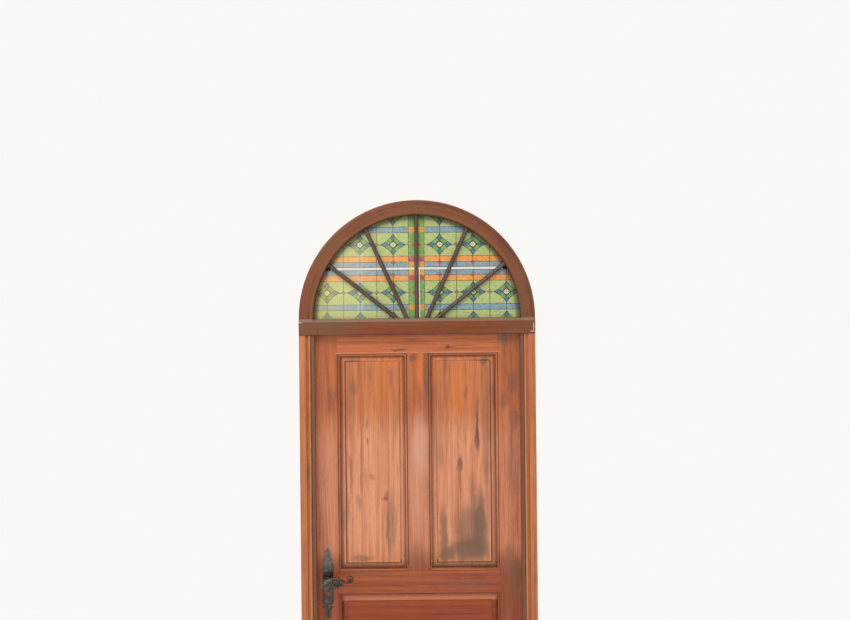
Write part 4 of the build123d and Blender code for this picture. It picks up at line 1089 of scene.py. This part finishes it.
# -----
# Plate screws: one round-headed slotted iron screw near each end of a plate.
round_head = slotted_head("round_head", 0.0033, 0.0026, 0.0012)
for face, side in (("room", -1), ("far", 1)):
    for k, z in enumerate((plate_centre[1] - 0.112, plate_centre[1] + 0.112)):
        turn = (side * -pi / 2, radians(20 + 55 * k), 0)
        set_copy(
            round_head,
            f"screw_plate_{face}_{k + 1}",
            (spindle[0], side * 0.0232, z),
            turn,
            "leaf",
            iron,
        )
bpy.data.objects.remove(round_head)


# -----
# Levers: one iron casting on each face, pinned to the spindle. A neck comes
# out of the rose into an arched spine that thins to a stem and curls up into a
# scroll. A row of pointed drops hangs below the spine, and a smaller volute
# curls under its root.
def drawn_out(name, stations, sides=12):
    """A bar drawn out from station to station.

    Each is x, y, z in millimetres from the spindle, heading in degrees, half width and half depth.
    """
    bpy.ops.object.select_all(action="DESELECT")
    bpy.ops.mesh.primitive_circle_add(vertices=sides, radius=0.001, fill_type="NGON", location=(0, 0, 0))
    bar = bpy.context.object
    bar.name = bar.data.name = name
    bpy.ops.object.mode_set(mode="EDIT")
    bpy.ops.mesh.select_mode(type="FACE")
    bpy.ops.mesh.select_all(action="SELECT")
    at, heading, wide, deep = Vector((0, 0, 0)), 90, 1, 1
    for k, (x, y, z, next_heading, next_wide, next_deep) in enumerate(stations):
        there = Vector((spindle[0] + x / 1000, y / 1000, spindle[1] + z / 1000))
        if k:
            bpy.ops.mesh.extrude_region_move(TRANSFORM_OT_translate={"value": there - at})
        else:
            bpy.ops.transform.translate(value=there)
        bpy.ops.transform.rotate(
            value=radians(next_heading - heading), orient_axis="Y", center_override=there
        )
        swell = next_wide / wide
        if k:
            bpy.ops.transform.resize(value=(swell, next_deep / deep, swell), center_override=there)
        else:
            bpy.ops.transform.resize(value=(next_wide, next_deep, next_wide), center_override=there)
        at, heading, wide, deep = there, next_heading, next_wide, next_deep
    bpy.ops.mesh.select_all(action="SELECT")
    bpy.ops.mesh.normals_make_consistent()
    bpy.ops.object.mode_set(mode="OBJECT")
    return bar


def curl(x, z, start, turn, radius, last_radius, wide, last_wide, deep, steps):
    """Stations of a scroll about (x, z) that winds in from one radius to another."""
    stations = []
    for k in range(steps + 1):
        t = k / steps
        angle = start + turn * t
        r = radius + (last_radius - radius) * t ** 1.6
        around = radians(angle)
        stations.append((
            x + r * cos(around), -69.4 - 0.8 * t, z + r * sin(around), angle + 90,
            wide + (last_wide - wide) * t, deep - 0.7 * t,
        ))
    return stations


spine = (
    (-4, -68.4, -4, 25, 8.0, 6.2), (5, -68.8, 1, 30, 8.8, 6.4), (15, -69.1, 6.4, 25, 8.4, 6.3),
    (26, -69.3, 10.0, 14, 7.4, 6.1), (37, -69.4, 12.2, 2, 5.8, 5.7), (47, -69.4, 11.6, -12, 5.2, 5.5),
    (56, -69.4, 8.2, -28, 4.4, 5.1), (64, -69.4, 3.6, -30, 3.7, 4.7), (71, -69.4, 0.2, -20, 3.1, 4.5),
    (78, -69.4, -1.8, -8, 2.7, 4.4), (85, -69.4, -2.4, 0, 2.5, 4.3),
)
scroll = curl(92.5, 10.6, 262, 490, 13.0, 4.4, 2.3, 1.5, 4.4, 30)
volute = curl(-4, -14, 55, 430, 9.8, 3.0, 2.7, 1.6, 5.2, 22)
neck_profile = (
    (0, -24), (8.6, -24), (8.6, -28.5), (7.4, -30), (7.0, -38), (7.2, -48), (8.2, -57), (9.6, -62.5),
    (10.6, -66.5), (10.6, -70), (9.4, -73), (6.6, -75), (3.0, -75.7), (0, -75.8),
)
drop_length = 29
drop_shape = (
    (0, 1.6, 2.6), (3.5, 2.6, 3.4), (8, 3.6, 4.2), (13, 4.6, 4.6),
    (18, 4.6, 4.2), (22.5, 3.6, 3.2), (26.5, 1.8, 1.8), (29, 0.3, 0.5),
)
drop_ends = (
    ((24, 5), (9, -24)), ((34, 7), (21, -29)), ((44, 8), (33, -30)), ((53, 6), (44.5, -27)),
    ((60, 2), (54.5, -21.5)), ((67, -1), (64, -15)),
)
drop_stations = [
    (0, -71.2 + 3.4 * (along / drop_length) ** 2, -along, 270, wide, deep)
    for along, wide, deep in drop_shape
]
drop = drawn_out("drop", drop_stations, 10)
pieces = [
    turned("neck", neck_profile, *spindle, 24),
    drawn_out("spine", list(spine) + scroll),
    drawn_out("volute", [(4, -68.8, -2, 170, 3.0, 4.6)] + volute),
]
for (x0, z0), (x1, z1) in drop_ends:
    hung = new_piece("drop", drop.data.copy())
    length = hypot(x1 - x0, z1 - z0) / drop_length
    edit_all()
    hook = (spindle[0], -0.070, spindle[1])
    bpy.ops.transform.resize(value=(length ** 0.5, length ** 0.3, length), center_override=hook)
    bpy.ops.transform.rotate(value=atan2(x1 - x0, z0 - z1), orient_axis="Y", center_override=hook)
    bpy.ops.transform.translate(value=(x0 / 1000, 0, z0 / 1000))
    bpy.ops.object.mode_set(mode="OBJECT")
    pieces.append(hung)
bpy.data.objects.remove(drop)
for x, z, radius in ((93, 10, 3.6), (-4, -14, 3.2)):
    bpy.ops.mesh.primitive_uv_sphere_add(
        segments=16,
        ring_count=10,
        radius=radius / 1000,
        location=(spindle[0] + x / 1000, -0.0712, spindle[1] + z / 1000),
    )
    bpy.ops.transform.resize(value=(1, 1.25, 1))
    bpy.ops.object.transform_apply()
    pieces.append(bpy.context.object)
room_lever = join_pieces(pieces, "lever_room_side")
bpy.ops.object.shade_smooth_by_angle(angle=radians(50))
far_lever = for_the_far_side(room_lever, "lever_far_side")
for piece, node in ((room_lever, "lever_front"), (far_lever, "lever_back")):
    piece.data.materials.clear()
    piece.data.materials.append(iron)
    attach(piece, "handle")
    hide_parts(node)

# -----
# Setting: a plain pale floor, even studio light with soft lamps above, before
# and behind, and the camera where the photograph was taken from.
floor_radius = 1.72
floor_fade = (0.9, 1.7)

bpy.ops.object.select_all(action="DESELECT")
bpy.ops.mesh.primitive_circle_add(vertices=128, radius=floor_radius, fill_type="NGON", location=(0, 0, 0))
floor = bpy.context.object
floor.name = "floor"
floor_paint, tree, shader = new_material("pale_floor")
shader.inputs["Base Color"].default_value = (0.90, 0.89, 0.875, 1)
shader.inputs["Roughness"].default_value = 0.85
shader.inputs["Specular IOR Level"].default_value = 0.2
away = distance(tree, axis_of(tree, "X"), axis_of(tree, "Y"))
link(tree, span(tree, away, *floor_fade, 1, 0), shader.inputs["Alpha"])
floor.data.materials.append(floor_paint)

world = bpy.data.worlds.new("studio")
bpy.context.scene.world = world
world.use_nodes = True
sky = world.node_tree
background = sky.nodes["Background"]
path = sky.nodes.new("ShaderNodeLightPath")
seen = math_node(
    sky,
    "MAXIMUM",
    path.outputs["Is Camera Ray"],
    math_node(sky, "MAXIMUM", path.outputs["Is Glossy Ray"], path.outputs["Is Transmission Ray"]),
)
link(sky, blend_colour(sky, seen, (0.80, 0.80, 0.81), (0.955, 0.94, 0.915)), background.inputs["Color"])
background.inputs["Strength"].default_value = 1


def soft_lamp(name, place, aim, width, height, power, colour):
    """A rectangular studio lamp at a place, turned to face a point."""
    lamp = bpy.data.lights.new(name, "AREA")
    lamp.shape = "RECTANGLE"
    lamp.size, lamp.size_y = width, height
    lamp.energy = power
    lamp.color = colour
    holder = bpy.data.objects.new(name, lamp)
    holder.location = place
    holder.rotation_euler = (Vector(aim) - Vector(place)).to_track_quat("-Z", "Y").to_euler()
    bpy.context.scene.collection.objects.link(holder)


soft_lamp("lamp_above", (-0.7, -2.3, 4.4), (0, 0, 1.6), 1.8, 1.2, 46, (1, 0.98, 0.95))
soft_lamp("lamp_left", (-3.0, -2.0, 1.7), (0, 0, 1.5), 1.2, 2.2, 16, (1, 0.98, 0.95))
soft_lamp("lamp_behind", (0.9, 3.2, 3.8), (0, 0, 1.4), 1.8, 1.4, 46, (1, 0.99, 0.97))

eye = bpy.data.cameras.new("camera")
eye.lens = 27
eye.sensor_width = 36
camera = bpy.data.objects.new("camera", eye)
camera.location = (0.032, -2.542, 2.120)
camera.rotation_euler = (radians(90), radians(0.57), 0)
bpy.context.scene.collection.objects.link(camera)
bpy.context.scene.camera = camera

bpy.context.scene.view_settings.view_transform = "Standard"
